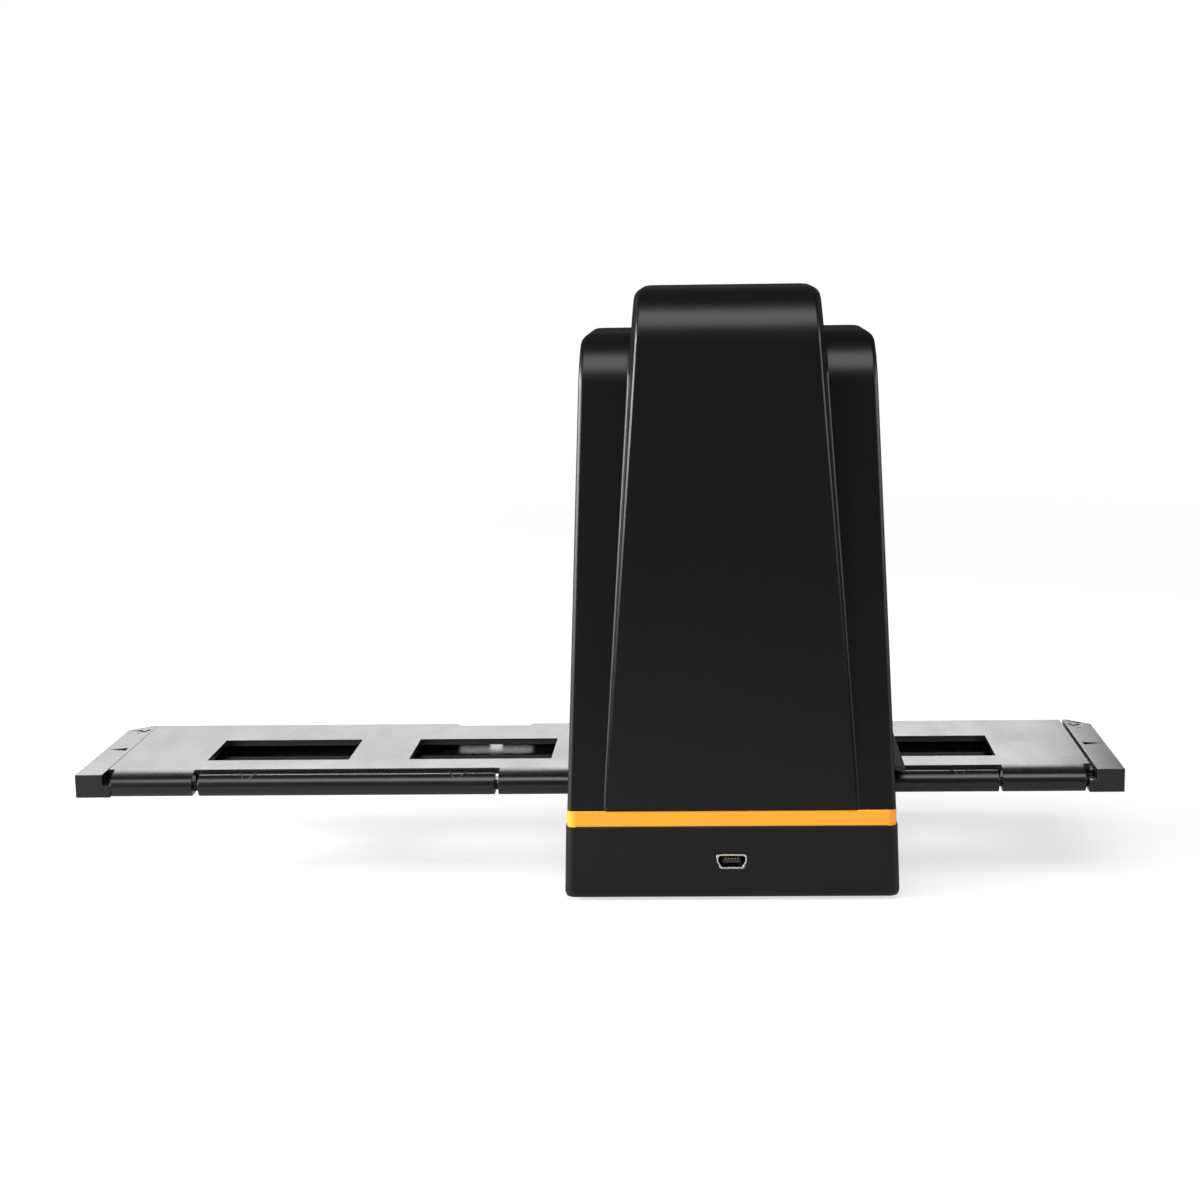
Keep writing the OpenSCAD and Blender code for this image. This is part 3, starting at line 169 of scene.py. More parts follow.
# The walls of the studio are seen as plain white, but throw little light on the object.
wall_light, wall_seen = 0.07, 1.0
studio = bpy.data.worlds.new("studio")
studio.use_nodes = True
tree = studio.node_tree
tree.nodes.clear()
path = add_node(tree, "ShaderNodeLightPath")
dim = add_node(tree, "ShaderNodeBackground", {"Color": (1, 1, 1, 1), "Strength": wall_light})
white = add_node(tree, "ShaderNodeBackground", {"Color": (1, 1, 1, 1), "Strength": wall_seen})
seen = add_node(tree, "ShaderNodeMixShader", {0: path.outputs["Is Camera Ray"],
                1: dim.outputs["Background"], 2: white.outputs["Background"]})
sky = add_node(tree, "ShaderNodeOutputWorld", {"Surface": seen.outputs["Shader"]})
bpy.context.scene.world = studio


# ---- Base case ----
# The lower tray of the scanner, injection moulded in black ABS, with the socket in its rear
# wall. Its tool was spark eroded, which leaves a fine even grain and a satin gloss.
case_abs, tree, output = new_material("satin_black_abs")
grain_w = 0.3 * mm  # the real grain, under 0.1 mm, is too fine to show
place = add_node(tree, "ShaderNodeTexCoord")
grain = add_node(tree, "ShaderNodeTexNoise", {"Vector": place.outputs["Object"],
                 "Scale": 1 / grain_w, "Detail": 2.0, "Roughness": 0.5})
flow_w = 30 * mm
flow = add_node(tree, "ShaderNodeTexNoise", {"Vector": place.outputs["Object"],
                "Scale": 1 / flow_w, "Detail": 3.0, "Roughness": 0.5})
gloss = add_node(tree, "ShaderNodeMapRange", {"Value": flow.outputs["Fac"],
                 "To Min": 0.31, "To Max": 0.37})
relief = add_node(tree, "ShaderNodeBump", {"Height": grain.outputs["Fac"],
                  "Strength": 0.12, "Distance": 0.02 * mm})
skin = add_node(tree, "ShaderNodeBsdfPrincipled", {"Base Color": linear("#060606"),
                "Roughness": gloss.outputs["Result"], "IOR": 1.5,
                "Specular IOR Level": 0.32, "Normal": relief.outputs["Normal"]})
tree.links.new(skin.outputs["BSDF"], output.inputs["Surface"])


weld_gap = 0.002 * mm
flat_angle = math.radians(0.6)
hard_angle = math.radians(50)
steep_angle = 1.0


def merged_copy(node):
    """A bmesh copy of a CAD node, its loose triangles joined into whole convex faces."""
    bm = bmesh.new()
    bm.from_mesh(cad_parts[node].data)
    bmesh.ops.remove_doubles(bm, verts=bm.verts, dist=weld_gap)
    bmesh.ops.dissolve_limit(bm, angle_limit=flat_angle, verts=bm.verts, edges=bm.edges)
    bmesh.ops.connect_verts_concave(bm, faces=bm.faces)
    return bm


def round_edges(bm, edges, radius, segments):
    """Rounds the edges that are given."""
    bmesh.ops.bevel(bm, geom=edges, offset=radius, offset_type="OFFSET", segments=segments,
                    profile=0.5, affect="EDGES", clamp_overlap=False, material=-1)


def ease_edges(bm, radius, segments=3, least=0):
    """Rounds every hard edge that is longer than the least."""
    hard = [e for e in bm.edges if e.is_manifold and e.calc_length() > least
            and abs(e.calc_face_angle()) > hard_angle]
    round_edges(bm, hard, radius, segments)


def show_piece(bm, name, material, body, replaced=None):
    """A finished piece that moves with a body and may stand for a CAD node."""
    thing = new_object(bm, name, material)
    even = thing.modifiers.new("even_faces", "WEIGHTED_NORMAL")
    even.weight = 50
    even.keep_sharp = True
    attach(thing, body)
    if replaced:
        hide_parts(replaced)
    return thing


sole_r = 1.1 * mm
level = 0.01 * mm
rim_w = 6 * mm
base_lo, base_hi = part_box("base_case")


def near_rim(point, margin):
    """Whether a point lies within a margin of the base's outer faces."""
    return abs(point.x) > base_hi.x - margin or abs(point.y) > base_hi.y - margin


bm = merged_copy("base_case")
sole = [e for e in bm.edges if max(v.co.z for v in e.verts) < base_lo.z + level
        and e.calc_face_angle() > steep_angle and all(near_rim(v.co, rim_w) for v in e.verts)
        and near_rim((e.verts[0].co + e.verts[1].co) / 2, rim_w / 2)]
round_edges(bm, sole, sole_r, 4)
ease_edges(bm, 0.2 * mm, least=0.5 * mm)
show_piece(bm, "base_moulding", case_abs, "case", "base_case")


# ---- Rubber feet ----
# Four pads of soft black rubber with a rounded rim, pressed into pockets under the base. Their
# moulded skin is dull and a little speckled.
foot_rubber, tree, output = new_material("black_rubber")
place = add_node(tree, "ShaderNodeTexCoord")
speck_w = 0.4 * mm
speck = add_node(tree, "ShaderNodeTexNoise", {"Vector": place.outputs["Object"],
                 "Scale": 1 / speck_w, "Detail": 3.0})
relief = add_node(tree, "ShaderNodeBump", {"Height": speck.outputs["Fac"],
                  "Strength": 0.3, "Distance": 0.03 * mm})
skin = add_node(tree, "ShaderNodeBsdfPrincipled", {"Base Color": linear("#1a1a1a"),
                "Roughness": 0.75, "IOR": 1.52, "Normal": relief.outputs["Normal"]})
tree.links.new(skin.outputs["BSDF"], output.inputs["Surface"])

bm = merged_copy("rubber_feet")
ease_edges(bm, 0.3 * mm)
show_piece(bm, "foot_pads", foot_rubber, "case", "rubber_feet")


# ---- Accent band ----
# A ring of orange ABS with eased edges, clamped between the base and the tower. It comes out
# of a polished mould, so it is smooth and glossy, with a slight drift in its tint.
band_abs, tree, output = new_material("gloss_orange_abs")
place = add_node(tree, "ShaderNodeTexCoord")
tint_w = 12 * mm
tint = add_node(tree, "ShaderNodeTexNoise", {"Vector": place.outputs["Object"],
                "Scale": 1 / tint_w, "Detail": 2.0})
# A Mix node takes its two colours at its sockets 6 and 7, and gives their mix at socket 2.
colour = add_node(tree, "ShaderNodeMix", {"Factor": tint.outputs["Fac"],
                  6: linear("#f09c26"), 7: linear("#ec9722")}, data_type="RGBA")
skin = add_node(tree, "ShaderNodeBsdfPrincipled", {"Base Color": colour.outputs[2],
                "Roughness": 0.3, "IOR": 1.5})
tree.links.new(skin.outputs["BSDF"], output.inputs["Surface"])

bm = merged_copy("accent_band")
ease_edges(bm, 0.3 * mm, least=0.5 * mm)
show_piece(bm, "band_ring", band_abs, "case", "accent_band")


# ---- Tower halves ----
# Two black ABS shells meet on the flanks. A central spine stands proud of the shoulders, and
# each face rolls over into the top. The slot for the holder cuts both flanks.
wall = 2.2 * mm
crown_r = 15 * mm
tower_lo, tower_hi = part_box("rear_shell")
shoulder_foot = Vector((43.0, 42.0)) * mm
shoulder_top = Vector((38.3, 30.5)) * mm
shoulder_z = 147.3 * mm
spine_foot = Vector((33.35, 42.3)) * mm
spine_top = Vector((24.25, 34.7)) * mm
corner_r = 3 * mm
spine_corner_r = 2.6 * mm
hollow_corner_r = 1.5 * mm
shoulder_edge_r = 1.4 * mm
spine_edge_r = 0.65 * mm
slot_half = 33.3 * mm
slot_z = 35.4 * mm
crease = math.radians(30)
hair = 1e-7


def rolled_half(foot, top, z_foot, z_top, radius):
    """A leaning wall that rolls over into the top: its half width at a height, and the
    heights where the roll is drawn."""
    centre = Vector((top - radius, z_top - radius))
    away = centre - Vector((foot, z_foot))
    slope = math.atan2(away.y, away.x) - math.asin(radius / away.length)
    start = slope - math.pi / 2

    def half(z):
        if z < centre.y + radius * math.sin(start):
            return foot + (z - z_foot) / math.tan(slope)
        return centre.x + math.sqrt(max(radius ** 2 - (z - centre.y) ** 2, 0))

    def height(share):
        return centre.y + radius * math.sin(start + share * (math.pi / 2 - start))
    return half, height


def tower_block(foot, top, z_foot, z_top, crown, corner, edge, cheek=None):
    """A solid with rounded top corners whose two faces roll over into its top. The cheek
    gives, for a height, how far its upright edges are cut back along X and along Y."""
    half_x, corner_z = rolled_half(foot.x, top.x, z_foot, z_top, corner)
    half_y, crown_z = rolled_half(foot.y, top.y, z_foot, z_top, crown)
    crown_steps, corner_steps = 26, 12
    levels = [corner_z(i / corner_steps) for i in range(corner_steps + 1)]
    levels += [z for z in (crown_z(i / crown_steps) for i in range(crown_steps + 1))
               if z < levels[0] - 0.1 * mm]
    if cheek:
        levels += [z_foot + share * (levels[-1] - z_foot) for share in (0.25, 0.5, 0.75)]

    def section(z):
        x, y = half_x(z), half_y(z)
        if not cheek:
            return [(x, -y, z), (x, y, z), (-x, y, z), (-x, -y, z)]
        in_x, in_y = cheek(z)
        quarter = [(x - in_x, -y, z), (x, in_y - y, z), (x, y - in_y, z), (x - in_x, y, z)]
        return quarter + [(-a, b, c) for a, b, c in reversed(quarter)]

    bm = bmesh.new()
    lid = bm.faces.new([bm.verts.new(point) for point in section(z_foot)])
    for step, z in enumerate(sorted(levels)):
        made = bmesh.ops.extrude_face_region(bm, geom=[lid])["geom"]
        if step:
            bmesh.ops.delete(bm, geom=[lid], context="FACES_ONLY")
        lid = next(f for f in made if isinstance(f, bmesh.types.BMFace))
        for vert, point in zip(lid.verts, section(z)):
            vert.co = point
    bmesh.ops.recalc_face_normals(bm, faces=bm.faces)
    if edge:
        bm.normal_update()
        upright = [e for e in bm.edges if abs(e.verts[0].co.z - e.verts[1].co.z) > hair
                   and (not cheek or e.calc_face_angle() > crease
                        or e.verts[0].co.z > z_top - corner)]
        round_edges(bm, upright, edge, 4)
    return bm


def shape(target, others, how):
    """Joins or cuts solid objects with a target, and keeps the result as its mesh."""
    for other in others:
        step = target.modifiers.new(how.lower(), "BOOLEAN")
        step.operation = how
        step.object = other
    now = bpy.context.evaluated_depsgraph_get()
    mesh = bpy.data.meshes.new_from_object(target.evaluated_get(now))
    target.modifiers.clear()
    target.data = mesh
    for other in others:
        bpy.data.objects.remove(other)


def box_object(name, low, high, material):
    """A box between two corners."""
    bm = bmesh.new()
    bmesh.ops.create_cube(bm, size=1)
    size = Vector(high) - Vector(low)
    bmesh.ops.scale(bm, vec=size, verts=bm.verts)
    bmesh.ops.translate(bm, vec=(Vector(high) + Vector(low)) / 2, verts=bm.verts)
    return new_object(bm, name, material)


def rod_object(name, radius, y0, y1, z, material):
    """A round bar along Y."""
    bm = bmesh.new()
    bmesh.ops.create_cone(bm, cap_ends=True, segments=96, radius1=radius, radius2=radius,
                          depth=y1 - y0)
    bmesh.ops.rotate(bm, cent=(0, 0, 0), matrix=Matrix.Rotation(math.pi / 2, 3, "X"),
                     verts=bm.verts)
    bmesh.ops.translate(bm, vec=(0, (y0 + y1) / 2, z), verts=bm.verts)
    return new_object(bm, name, material)


foot_z = tower_lo.z
spine_z = tower_hi.z
outer = new_object(tower_block(shoulder_foot, shoulder_top, foot_z, shoulder_z, crown_r,
                               corner_r, shoulder_edge_r), "tower_outer", case_abs)
shoulder_y = rolled_half(shoulder_foot.y, shoulder_top.y, foot_z, shoulder_z, crown_r)[0]
spine_y = rolled_half(spine_foot.y, spine_top.y, foot_z, spine_z, crown_r)[0]


cheek_top = 135 * mm
cheek_sunk = 0.6 * mm
cheek_slope = 0.25


def spine_cheek(z):
    """The sides of the spine slope until they are just behind the face of the shoulders."""
    at = min(z, cheek_top)
    depth = spine_y(at) - shoulder_y(at) + cheek_sunk
    return cheek_slope * depth, depth


spine = new_object(tower_block(spine_foot, spine_top, foot_z, spine_z, crown_r, spine_corner_r,
                               spine_edge_r, spine_cheek), "spine_outer", case_abs)
shape(outer, [spine], "UNION")
groove_r = 0.55 * mm
bm = bmesh.new()
bm.from_mesh(outer.data)
bmesh.ops.dissolve_limit(bm, angle_limit=math.radians(0.1), verts=bm.verts, edges=bm.edges)
inner_corner = [e for e in bm.edges if e.is_manifold and e.calc_face_angle_signed() < -0.5]
round_edges(bm, inner_corner, groove_r, 3)
bm.to_mesh(outer.data)
bm.free()
inset = Vector((wall, wall))
seam = 0.14 * mm
bezel_lo, bezel_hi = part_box("button_bezel")
pipe_lo, pipe_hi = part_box("light_pipe")
button_z = (bezel_lo.z + bezel_hi.z) / 2
pipe_z = (pipe_lo.z + pipe_hi.z) / 2
bezel_tube_r = 8.6 * mm
bezel_seat_r = 9.6 * mm
flange_seat_y = 34.9 * mm
pipe_hole_r = 1.55 * mm
cut_past = 1 * mm
drill_from, drill_to = 10 * mm, 60 * mm
beyond = 100 * mm
for side, name, node in ((-1, "tower_rear_half", "rear_shell"),
                         (1, "tower_front_half", "front_shell")):
    bm = bmesh.new()
    bm.from_mesh(outer.data)
    bmesh.ops.bisect_plane(bm, geom=bm.verts[:] + bm.edges[:] + bm.faces[:], dist=hair,
                           plane_co=(0, 0, 0), plane_no=(0, -side, 0), clear_outer=True)
    bmesh.ops.holes_fill(bm, edges=[e for e in bm.edges if e.is_boundary], sides=0)
    bmesh.ops.recalc_face_normals(bm, faces=bm.faces)
    bm.normal_update()
    joint = [e for e in bm.edges if max(abs(v.co.y) for v in e.verts) < 10 * hair
             and e.calc_face_angle() > steep_angle]
    round_edges(bm, joint, seam, 1)
    half = new_object(bm, name, case_abs)
    hollows = [new_object(tower_block(shoulder_foot - inset, shoulder_top - inset,
                                      foot_z - cut_past, shoulder_z - wall, crown_r - wall,
                                      hollow_corner_r, 0), "hollow", case_abs),
               new_object(tower_block(spine_foot - inset, spine_top - inset,
                                      foot_z - cut_past, spine_z - wall, crown_r - wall,
                                      hollow_corner_r, 0), "spine_hollow", case_abs),
               box_object("slot", (-beyond, -slot_half, foot_z - cut_past),
                          (beyond, slot_half, slot_z), case_abs)]
    if side > 0:
        hollows += [rod_object(*hole, case_abs) for hole in (
            ("bezel_hole", bezel_tube_r, drill_from, drill_to, button_z),
            ("bezel_seat", bezel_seat_r, flange_seat_y, drill_to, button_z),
            ("pipe_hole", pipe_hole_r, drill_from, drill_to, pipe_z))]
    shape(half, hollows, "DIFFERENCE")
    bm = bmesh.new()
    bm.from_mesh(half.data)
    bpy.data.objects.remove(half)
    show_piece(bm, name, case_abs, "case", node)
bpy.data.objects.remove(outer)

# A black flag keeps the back panel off the tower, whose flat top would turn white in it.
flagged = bpy.data.collections.new("flagged_from_back_panel")
for name in ("tower_rear_half", "tower_front_half"):
    flagged.objects.link(bpy.data.objects[name])
back_panel.light_linking.receiver_collection = flagged
for shaded in flagged.collection_objects:
    shaded.light_linking.link_state = "EXCLUDE"


# ---- Socket ----
# A mini-B socket, soldered to the main board: a shell folded from nickel plated sheet, bright
# with a faint grain, round a dull tongue of glass filled nylon with five gold flashed contacts.
nickel, tree, output = new_material("bright_nickel_plate")
place = add_node(tree, "ShaderNodeTexCoord")
roll_w = 0.5 * mm
roll = add_node(tree, "ShaderNodeTexNoise", {"Vector": place.outputs["Object"],
                "Scale": 1 / roll_w, "Detail": 2.0})
gloss = add_node(tree, "ShaderNodeMapRange", {"Value": roll.outputs["Fac"],
                 "To Min": 0.2, "To Max": 0.32})
skin = add_node(tree, "ShaderNodeBsdfPrincipled", {"Base Color": linear("#d8d6d0"),
                "Metallic": 1.0, "Roughness": gloss.outputs["Result"]})
tree.links.new(skin.outputs["BSDF"], output.inputs["Surface"])


def finish_nodes(names, material):
    """Gives CAD nodes that stay in sight their material."""
    for name in names:
        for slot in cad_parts[name].material_slots:
            slot.material = material


bm = merged_copy("socket_shell")
ease_edges(bm, 0.06 * mm, segments=2)
show_piece(bm, "socket_can", nickel, "case", "socket_shell")

fill_black, tree, output = new_material("glass_filled_black_nylon")
place = add_node(tree, "ShaderNodeTexCoord")
fibre_w = 0.2 * mm
fibre = add_node(tree, "ShaderNodeTexNoise", {"Vector": place.outputs["Object"],
                 "Scale": 1 / fibre_w, "Detail": 4.0})
gloss = add_node(tree, "ShaderNodeMapRange", {"Value": fibre.outputs["Fac"],
                 "To Min": 0.45, "To Max": 0.6})
skin = add_node(tree, "ShaderNodeBsdfPrincipled", {"Base Color": linear("#18181a"),
                "Roughness": gloss.outputs["Result"], "IOR": 1.53})
tree.links.new(skin.outputs["BSDF"], output.inputs["Surface"])
finish_nodes(["socket_tongue", "backlight_header"], fill_black)

gold, tree, output = new_material("gold_flash")
place = add_node(tree, "ShaderNodeTexCoord")
wipe = add_node(tree, "ShaderNodeTexNoise", {"Vector": place.outputs["Object"],
                "Scale": 1 / roll_w, "Detail": 2.0})
gloss = add_node(tree, "ShaderNodeMapRange", {"Value": wipe.outputs["Fac"],
                 "To Min": 0.22, "To Max": 0.36})
skin = add_node(tree, "ShaderNodeBsdfPrincipled", {"Base Color": linear("#e0b35a"),
                "Metallic": 1.0, "Roughness": gloss.outputs["Result"]})
tree.links.new(skin.outputs["BSDF"], output.inputs["Surface"])
finish_nodes(["socket_contacts"], gold)


# ---- Film holder ----
# A tray and a hinged lid, moulded in glossy black polystyrene. The polish of the tool lets the
# white of the studio shine along the top, broken by a faint slanting flow pattern.
holder_ps, tree, output = new_material("gloss_black_polystyrene")
place = add_node(tree, "ShaderNodeTexCoord")
turned = add_node(tree, "ShaderNodeMapping", {"Vector": place.outputs["Object"],
                  "Rotation": (0, 0, math.radians(35)), "Scale": (1, 0.4, 1)})
streak_w = 9 * mm
streak = add_node(tree, "ShaderNodeTexNoise", {"Vector": turned.outputs["Vector"],
                  "Scale": 1 / streak_w, "Detail": 1.5, "Roughness": 0.5})
gloss = add_node(tree, "ShaderNodeMapRange", {"Value": streak.outputs["Fac"],
                 "To Min": 0.22, "To Max": 0.32})
skin = add_node(tree, "ShaderNodeBsdfPrincipled", {"Base Color": linear("#0e1010"),
                "Roughness": gloss.outputs["Result"], "IOR": 1.59,
                "Specular IOR Level": 0.36})
tree.links.new(skin.outputs["BSDF"], output.inputs["Surface"])


def slanted_bar(start, end, wide, high):
    """A thin straight bar between two points."""
    bm = bmesh.new()
    bmesh.ops.create_cube(bm, size=1)
    run = Vector(end) - Vector(start)
    bmesh.ops.scale(bm, vec=(run.length, wide, high), verts=bm.verts)
    turn = run.to_track_quat("X", "Z").to_matrix()
    bmesh.ops.rotate(bm, cent=(0, 0, 0), matrix=turn, verts=bm.verts)
    bmesh.ops.translate(bm, vec=(Vector(start) + Vector(end)) / 2, verts=bm.verts)
    return new_object(bm, "bar", holder_ps)


tray_lo, tray_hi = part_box("holder_tray")
tray_mid = (tray_lo.x + tray_hi.x) / 2
tray_half = (tray_hi.x - tray_lo.x) / 2
holder_edge_r = 0.15 * mm
holder_edge_l = 0.4 * mm
bm = merged_copy("holder_tray")
ease_edges(bm, holder_edge_r, least=holder_edge_l)
tray = new_object(bm, "tray", holder_ps)

# The lid's two catches snap into small recesses in the far corners of the end strips. Each is
# a groove from one point to another, in mm from the corner, and as wide as its last number.
catch_depth = 1.8 * mm
catch_lines = (((-2.2, -3.2), (-5.9, -0.2), 0.7), ((-3.4, -5.6), (-5.3, -7.9), 0.8),
               ((-5.3, -7.9), (-6.4, -4.8), 0.8), ((-3.8, -9.8), (-4.4, -9.8), 0.6))
recesses = []
for side in (-1, 1):
    for (x0, y0), (x1, y1), wide in catch_lines:
        recesses.append(slanted_bar(
            (tray_mid + side * (tray_half + x0 * mm), tray_hi.y + y0 * mm, tray_hi.z),
            (tray_mid + side * (tray_half + x1 * mm), tray_hi.y + y1 * mm, tray_hi.z),
            wide * mm, 2 * catch_depth))
shape(tray, recesses, "DIFFERENCE")

# Low walls close the finger notches behind the slides, but for a small gap in their middle, and
# the ejector pins of the mould left pairs of slanted witness marks on the knuckles.
barrel_r = 3.0 * mm
barrel_flat = 0.5 * mm
barrel_y, barrel_z = tray_lo.y + barrel_r, tray_lo.z + barrel_r - barrel_flat
window_inner = 32.8 * mm
notch_half, gap_half = 12.0 * mm, 1.8 * mm
low_wall_t = 1.1 * mm
low_wall_drop = 1.95 * mm
mark_w = 0.35 * mm
extras = []
for side in (-1, 1):
    middle = tray_mid + side * window_inner
    for start, end in ((-notch_half, -gap_half), (gap_half, notch_half)):
        extras.append(box_object("wall", (middle + start, tray_hi.y - low_wall_t, tray_lo.z),
                                 (middle + end, tray_hi.y, tray_hi.z - low_wall_drop),
                                 holder_ps))


def on_barrel(x, angle):
    """A point on the hinge barrel, so many degrees up from its outer side."""
    turn = math.radians(angle)
    return x, barrel_y - barrel_r * math.cos(turn), barrel_z + barrel_r * math.sin(turn)


for middle in (-130.3 * mm, -73.4 * mm, 61.0 * mm):
    for lean in (-1, 1):
        extras.append(slanted_bar(on_barrel(middle + lean * 2.3 * mm, 100),
                                  on_barrel(middle + lean * 0.9 * mm, 48), mark_w, 0.7 * mm))
extras.append(slanted_bar(on_barrel(-69 * mm, 80), on_barrel(-63.8 * mm, 80), mark_w,
                          0.24 * mm))
shape(tray, extras, "UNION")
bm = bmesh.new()
bm.from_mesh(tray.data)
bpy.data.objects.remove(tray)
show_piece(bm, "tray_moulding", holder_ps, "holder", "holder_tray")

bm = merged_copy("holder_lid")
ease_edges(bm, holder_edge_r, least=holder_edge_l)
show_piece(bm, "lid_moulding", holder_ps, "lid", "holder_lid")


# ---- Dust flaps ----
# Two flaps in the holder's black polystyrene hang on pins inside the slot and lie on the lid,
# so that no dust or light gets in. The holder, pushed in from the left, leans both to the right.
for side, node, body in (("right", "right_dust_flap", "right_flap"),
                         ("left", "left_dust_flap", "left_flap")):
    bm = merged_copy(node)
    ease_edges(bm, holder_edge_r, least=holder_edge_l)
    show_piece(bm, side + "_flap_moulding", holder_ps, body, node)


# ---- Scan button ----
# A round push button on the front: an ABS cap under a silver lacquer with a fine metal flake,
# in a chrome plated ring that snaps into the shell.
def opaque_finish(name, shades, gloss_from, gloss_to, grain_w, metallic=0.0):
    """A moulded, painted or metal surface that drifts between two shades and two degrees of
    gloss, in patches as wide as its grain."""
    material, tree, output = new_material(name)
    place = add_node(tree, "ShaderNodeTexCoord")
    grain = add_node(tree, "ShaderNodeTexNoise", {"Vector": place.outputs["Object"],
                     "Scale": 1 / grain_w, "Detail": 3.0, "Roughness": 0.55})
    shade = add_node(tree, "ShaderNodeMix", {"Factor": grain.outputs["Fac"],
                     6: linear(shades[0]), 7: linear(shades[1])}, data_type="RGBA")
    gloss = add_node(tree, "ShaderNodeMapRange", {"Value": grain.outputs["Fac"],
                     "To Min": gloss_from, "To Max": gloss_to})
    skin = add_node(tree, "ShaderNodeBsdfPrincipled", {"Base Color": shade.outputs[2],
                    "Metallic": metallic, "Roughness": gloss.outputs["Result"]})
    tree.links.new(skin.outputs["BSDF"], output.inputs["Surface"])
    return material


silver_lacquer = opaque_finish("silver_flake_lacquer", ("#a9abad", "#c9cbcd"), 0.3, 0.42,
                               0.25 * mm, 0.85)
bm = merged_copy("scan_button")
ease_edges(bm, 0.3 * mm, segments=4, least=0.4 * mm)
show_piece(bm, "button_cap", silver_lacquer, "button", "scan_button")

chrome = opaque_finish("bright_chrome_plate", ("#c6c9cc", "#d3d6d8"), 0.06, 0.12, 3 * mm, 1.0)
bm = merged_copy("button_bezel")
ease_edges(bm, 0.35 * mm, segments=4, least=0.4 * mm)
show_piece(bm, "bezel_ring", chrome, "case", "button_bezel")


# ---- Status light ----
# A frosted acrylic light pipe under the button, and behind it a small lamp in clear epoxy. The
# moulded frost spreads the light, so the pipe looks milky when it is off.
acrylic, tree, output = new_material("frosted_acrylic")
place = add_node(tree, "ShaderNodeTexCoord")
frost_w = 0.15 * mm
frost = add_node(tree, "ShaderNodeTexNoise", {"Vector": place.outputs["Object"],
                 "Scale": 1 / frost_w, "Detail": 2.0})
gloss = add_node(tree, "ShaderNodeMapRange", {"Value": frost.outputs["Fac"],
                 "To Min": 0.25, "To Max": 0.45})
skin = add_node(tree, "ShaderNodeBsdfPrincipled", {"Base Color": linear("#e4ebee"),
                "Roughness": gloss.outputs["Result"], "IOR": 1.49,
                "Transmission Weight": 0.7})
tree.links.new(skin.outputs["BSDF"], output.inputs["Surface"])
finish_nodes(["light_pipe"], acrylic)
finish_nodes(["status_led"],
             opaque_finish("clear_epoxy_lamp", ("#e6e1cf", "#f0ecdc"), 0.15, 0.3, 0.5 * mm))


# ---- Springs, pins and the detent ball ----
# Springs coiled from hard drawn steel wire, polished steel pins and a ground steel ball. The
# die leaves the wire a little streaky; the ball and the pins are mirror bright.
wire = opaque_finish("drawn_spring_steel", ("#8b8d90", "#a5a7a9"), 0.22, 0.4, 0.3 * mm, 1.0)
finish_nodes(["button_spring", "detent_spring", "flap_springs"], wire)
ground = opaque_finish("ground_steel", ("#bfc1c3", "#cfd1d2"), 0.07, 0.14, 1.5 * mm, 1.0)
finish_nodes(["detent_ball", "flap_pins"], ground)


# ---- Screws ----
# Small screws of zinc plated steel, which hold the case, the stage, the gate, the boards and
# the bracket. They are tumbled in their plating, which leaves them softly bright.
zinc = opaque_finish("zinc_plated_steel", ("#a8aaae", "#bcbec0"), 0.28, 0.42, 0.4 * mm, 1.0)
finish_nodes(["case_screws", "stage_screws", "gate_screws", "board_screws", "bracket_screws"],
             zinc)


# ---- Circuit boards ----
# Glass epoxy boards under green solder mask; the board of the light box is masked white so it
# throws the light back. The weave of the glass shows through as a faint check.
def solder_mask(name, shades, gloss_from, gloss_to):
    """Lacquered board, with the weave of its glass cloth faintly raised."""
    weave_w = 0.6 * mm
    material, tree, output = new_material(name)
    place = add_node(tree, "ShaderNodeTexCoord")
    weave = add_node(tree, "ShaderNodeTexChecker", {"Vector": place.outputs["Object"],
                     "Scale": 1 / weave_w, "Color1": linear(shades[0]),
                     "Color2": linear(shades[1])})
    gloss = add_node(tree, "ShaderNodeMapRange", {"Value": weave.outputs["Fac"],
                     "To Min": gloss_from, "To Max": gloss_to})
    relief = add_node(tree, "ShaderNodeBump", {"Height": weave.outputs["Fac"],
                      "Strength": 0.15, "Distance": 0.02 * mm})
    skin = add_node(tree, "ShaderNodeBsdfPrincipled", {"Base Color": weave.outputs["Color"],
                    "Roughness": gloss.outputs["Result"], "IOR": 1.55,
                    "Normal": relief.outputs["Normal"]})
    tree.links.new(skin.outputs["BSDF"], output.inputs["Surface"])
    return material


finish_nodes(["main_board", "button_board", "sensor_board"],
             solder_mask("green_solder_mask", ("#17502f", "#1b5a35"), 0.26, 0.36))
finish_nodes(["led_board"], solder_mask("white_solder_mask", ("#e6e7e4", "#eeefec"), 0.4, 0.5))


# ---- Chips, capacitors and connectors ----
# Chips and the switch in black filled epoxy, rolled aluminium capacitor cans, and connectors
# moulded in ivory nylon that keeps the tool's dull finish.
filled_epoxy = opaque_finish("filled_black_epoxy", ("#161617", "#202022"), 0.5, 0.65,
                             0.12 * mm)
finish_nodes(["image_processor", "memory_chip", "tact_switch"], filled_epoxy)
finish_nodes(["capacitors"],
             opaque_finish("rolled_aluminium_can", ("#b9bbbd", "#cccecf"), 0.2, 0.34,
                           0.6 * mm, 1.0))
finish_nodes(["ribbon_connectors"],
             opaque_finish("ivory_nylon", ("#ddd5bd", "#e6dfca"), 0.45, 0.6, 1.2 * mm))


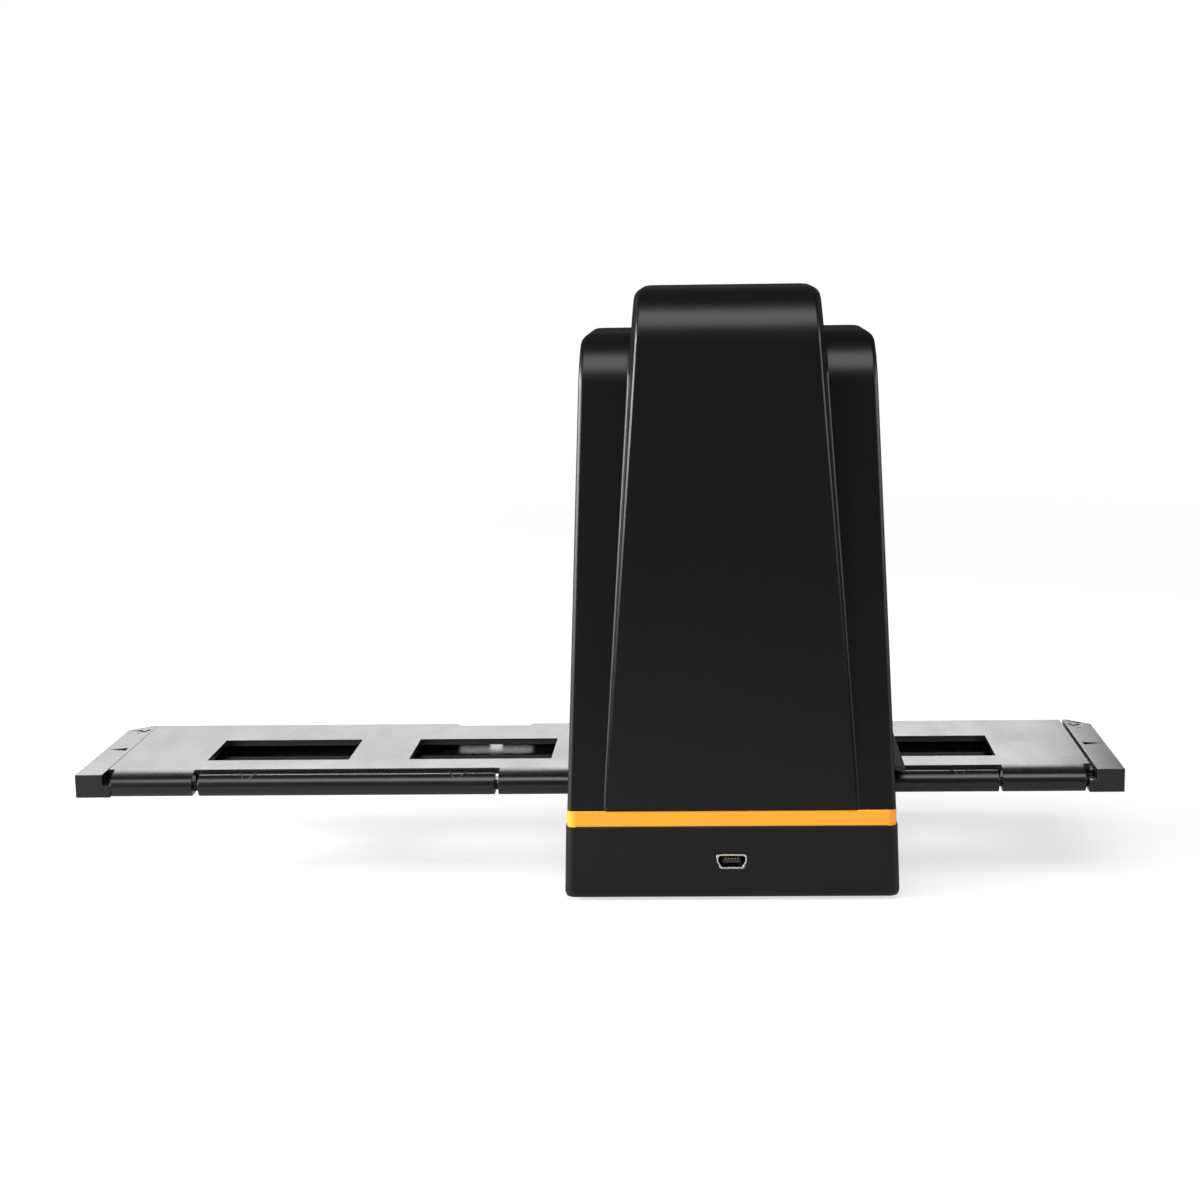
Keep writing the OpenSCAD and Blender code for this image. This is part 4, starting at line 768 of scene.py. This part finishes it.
# ---- Ribbon cables ----
# Flat flexible cables: copper strips laminated between amber polyimide films, which gives
# evenly spaced dark and light bands along the cable under a smooth gloss.
amber_film, tree, output = new_material("amber_polyimide_ribbon")
strip_w = 1.0 * mm
place = add_node(tree, "ShaderNodeTexCoord")
strips = add_node(tree, "ShaderNodeTexWave", {"Vector": place.outputs["Object"],
                  "Scale": math.pi / (10 * strip_w)}, bands_direction="X")
colour = add_node(tree, "ShaderNodeMix", {"Factor": strips.outputs["Fac"],
                  6: linear("#8a4a16"), 7: linear("#c67c33")}, data_type="RGBA")
gloss = add_node(tree, "ShaderNodeMapRange", {"Value": strips.outputs["Fac"],
                 "To Min": 0.22, "To Max": 0.32})
skin = add_node(tree, "ShaderNodeBsdfPrincipled", {"Base Color": colour.outputs[2],
                "Roughness": gloss.outputs["Result"], "IOR": 1.7})
tree.links.new(skin.outputs["BSDF"], output.inputs["Surface"])
finish_nodes(["sensor_cable", "button_cable"], amber_film)


# ---- Light box ----
# A white polycarbonate tray that throws the light of twelve phosphor lamps up through an opal
# acrylic plate. Fine fillers in the opal scatter the light, so it looks even and milky.
finish_nodes(["light_box"],
             opaque_finish("white_polycarbonate", ("#e9eae7", "#f1f2ef"), 0.4, 0.52, 4 * mm))
finish_nodes(["white_leds"],
             opaque_finish("yellow_phosphor", ("#dcc25a", "#ead17a"), 0.35, 0.5, 0.2 * mm))
opal, tree, output = new_material("opal_acrylic")
place = add_node(tree, "ShaderNodeTexCoord")
cloud_w = 2 * mm
cloud = add_node(tree, "ShaderNodeTexNoise", {"Vector": place.outputs["Object"],
                 "Scale": 1 / cloud_w, "Detail": 2.0})
gloss = add_node(tree, "ShaderNodeMapRange", {"Value": cloud.outputs["Fac"],
                 "To Min": 0.3, "To Max": 0.4})
skin = add_node(tree, "ShaderNodeBsdfPrincipled", {"Base Color": linear("#f2f3f1"),
                "Roughness": gloss.outputs["Result"], "IOR": 1.49,
                "Transmission Weight": 0.35})
tree.links.new(skin.outputs["BSDF"], output.inputs["Surface"])
finish_nodes(["diffuser_plate"], opal)


# ---- Film stage, gate, tunnel and camera bracket ----
# The frame that carries the holder and the dark tunnel up to the lens, moulded in black ABS
# with a coarse matt texture, so that no stray light reaches the sensor.
matt_abs = opaque_finish("matt_black_abs", ("#0e0e0f", "#151516"), 0.6, 0.75, 0.35 * mm)
finish_nodes(["film_stage", "upper_gate", "light_tunnel", "camera_bracket"], matt_abs)


# ---- Lens and sensor ----
# A turned and black anodised lens barrel with coated glass elements, a blue green filter that
# holds back infrared, and the sensor in its dark violet package.
anodised = opaque_finish("black_anodised_aluminium", ("#121213", "#1b1b1d"), 0.3, 0.42,
                         0.2 * mm, 0.6)
finish_nodes(["lens_barrel"], anodised)
for name, tint, clearness, nodes in (
        ("coated_glass", "#eef2f6", 0.02, ["lens_elements"]),
        ("infrared_blocking_glass", "#a9dcd4", 0.03, ["infrared_filter"])):
    glass, tree, output = new_material(name)
    place = add_node(tree, "ShaderNodeTexCoord")
    polish_w = 1.5 * mm
    polish = add_node(tree, "ShaderNodeTexNoise", {"Vector": place.outputs["Object"],
                      "Scale": 1 / polish_w, "Detail": 1.0})
    gloss = add_node(tree, "ShaderNodeMapRange", {"Value": polish.outputs["Fac"],
                     "To Min": 0.0, "To Max": clearness})
    skin = add_node(tree, "ShaderNodeBsdfPrincipled", {"Base Color": linear(tint),
                    "Roughness": gloss.outputs["Result"], "IOR": 1.52,
                    "Transmission Weight": 1.0})
    tree.links.new(skin.outputs["BSDF"], output.inputs["Surface"])
    finish_nodes(nodes, glass)
finish_nodes(["image_sensor"],
             opaque_finish("sensor_package", ("#221c2e", "#2d2540"), 0.12, 0.25, 0.5 * mm))


# ---- Hinge rod ----
# A steel wire through all the knuckles, blackened with oil so that it doesn't shine in the
# gaps between them.
finish_nodes(["hinge_rod"],
             opaque_finish("blackened_steel", ("#0c0c0d", "#161617"), 0.4, 0.55, 0.4 * mm,
                           0.5))
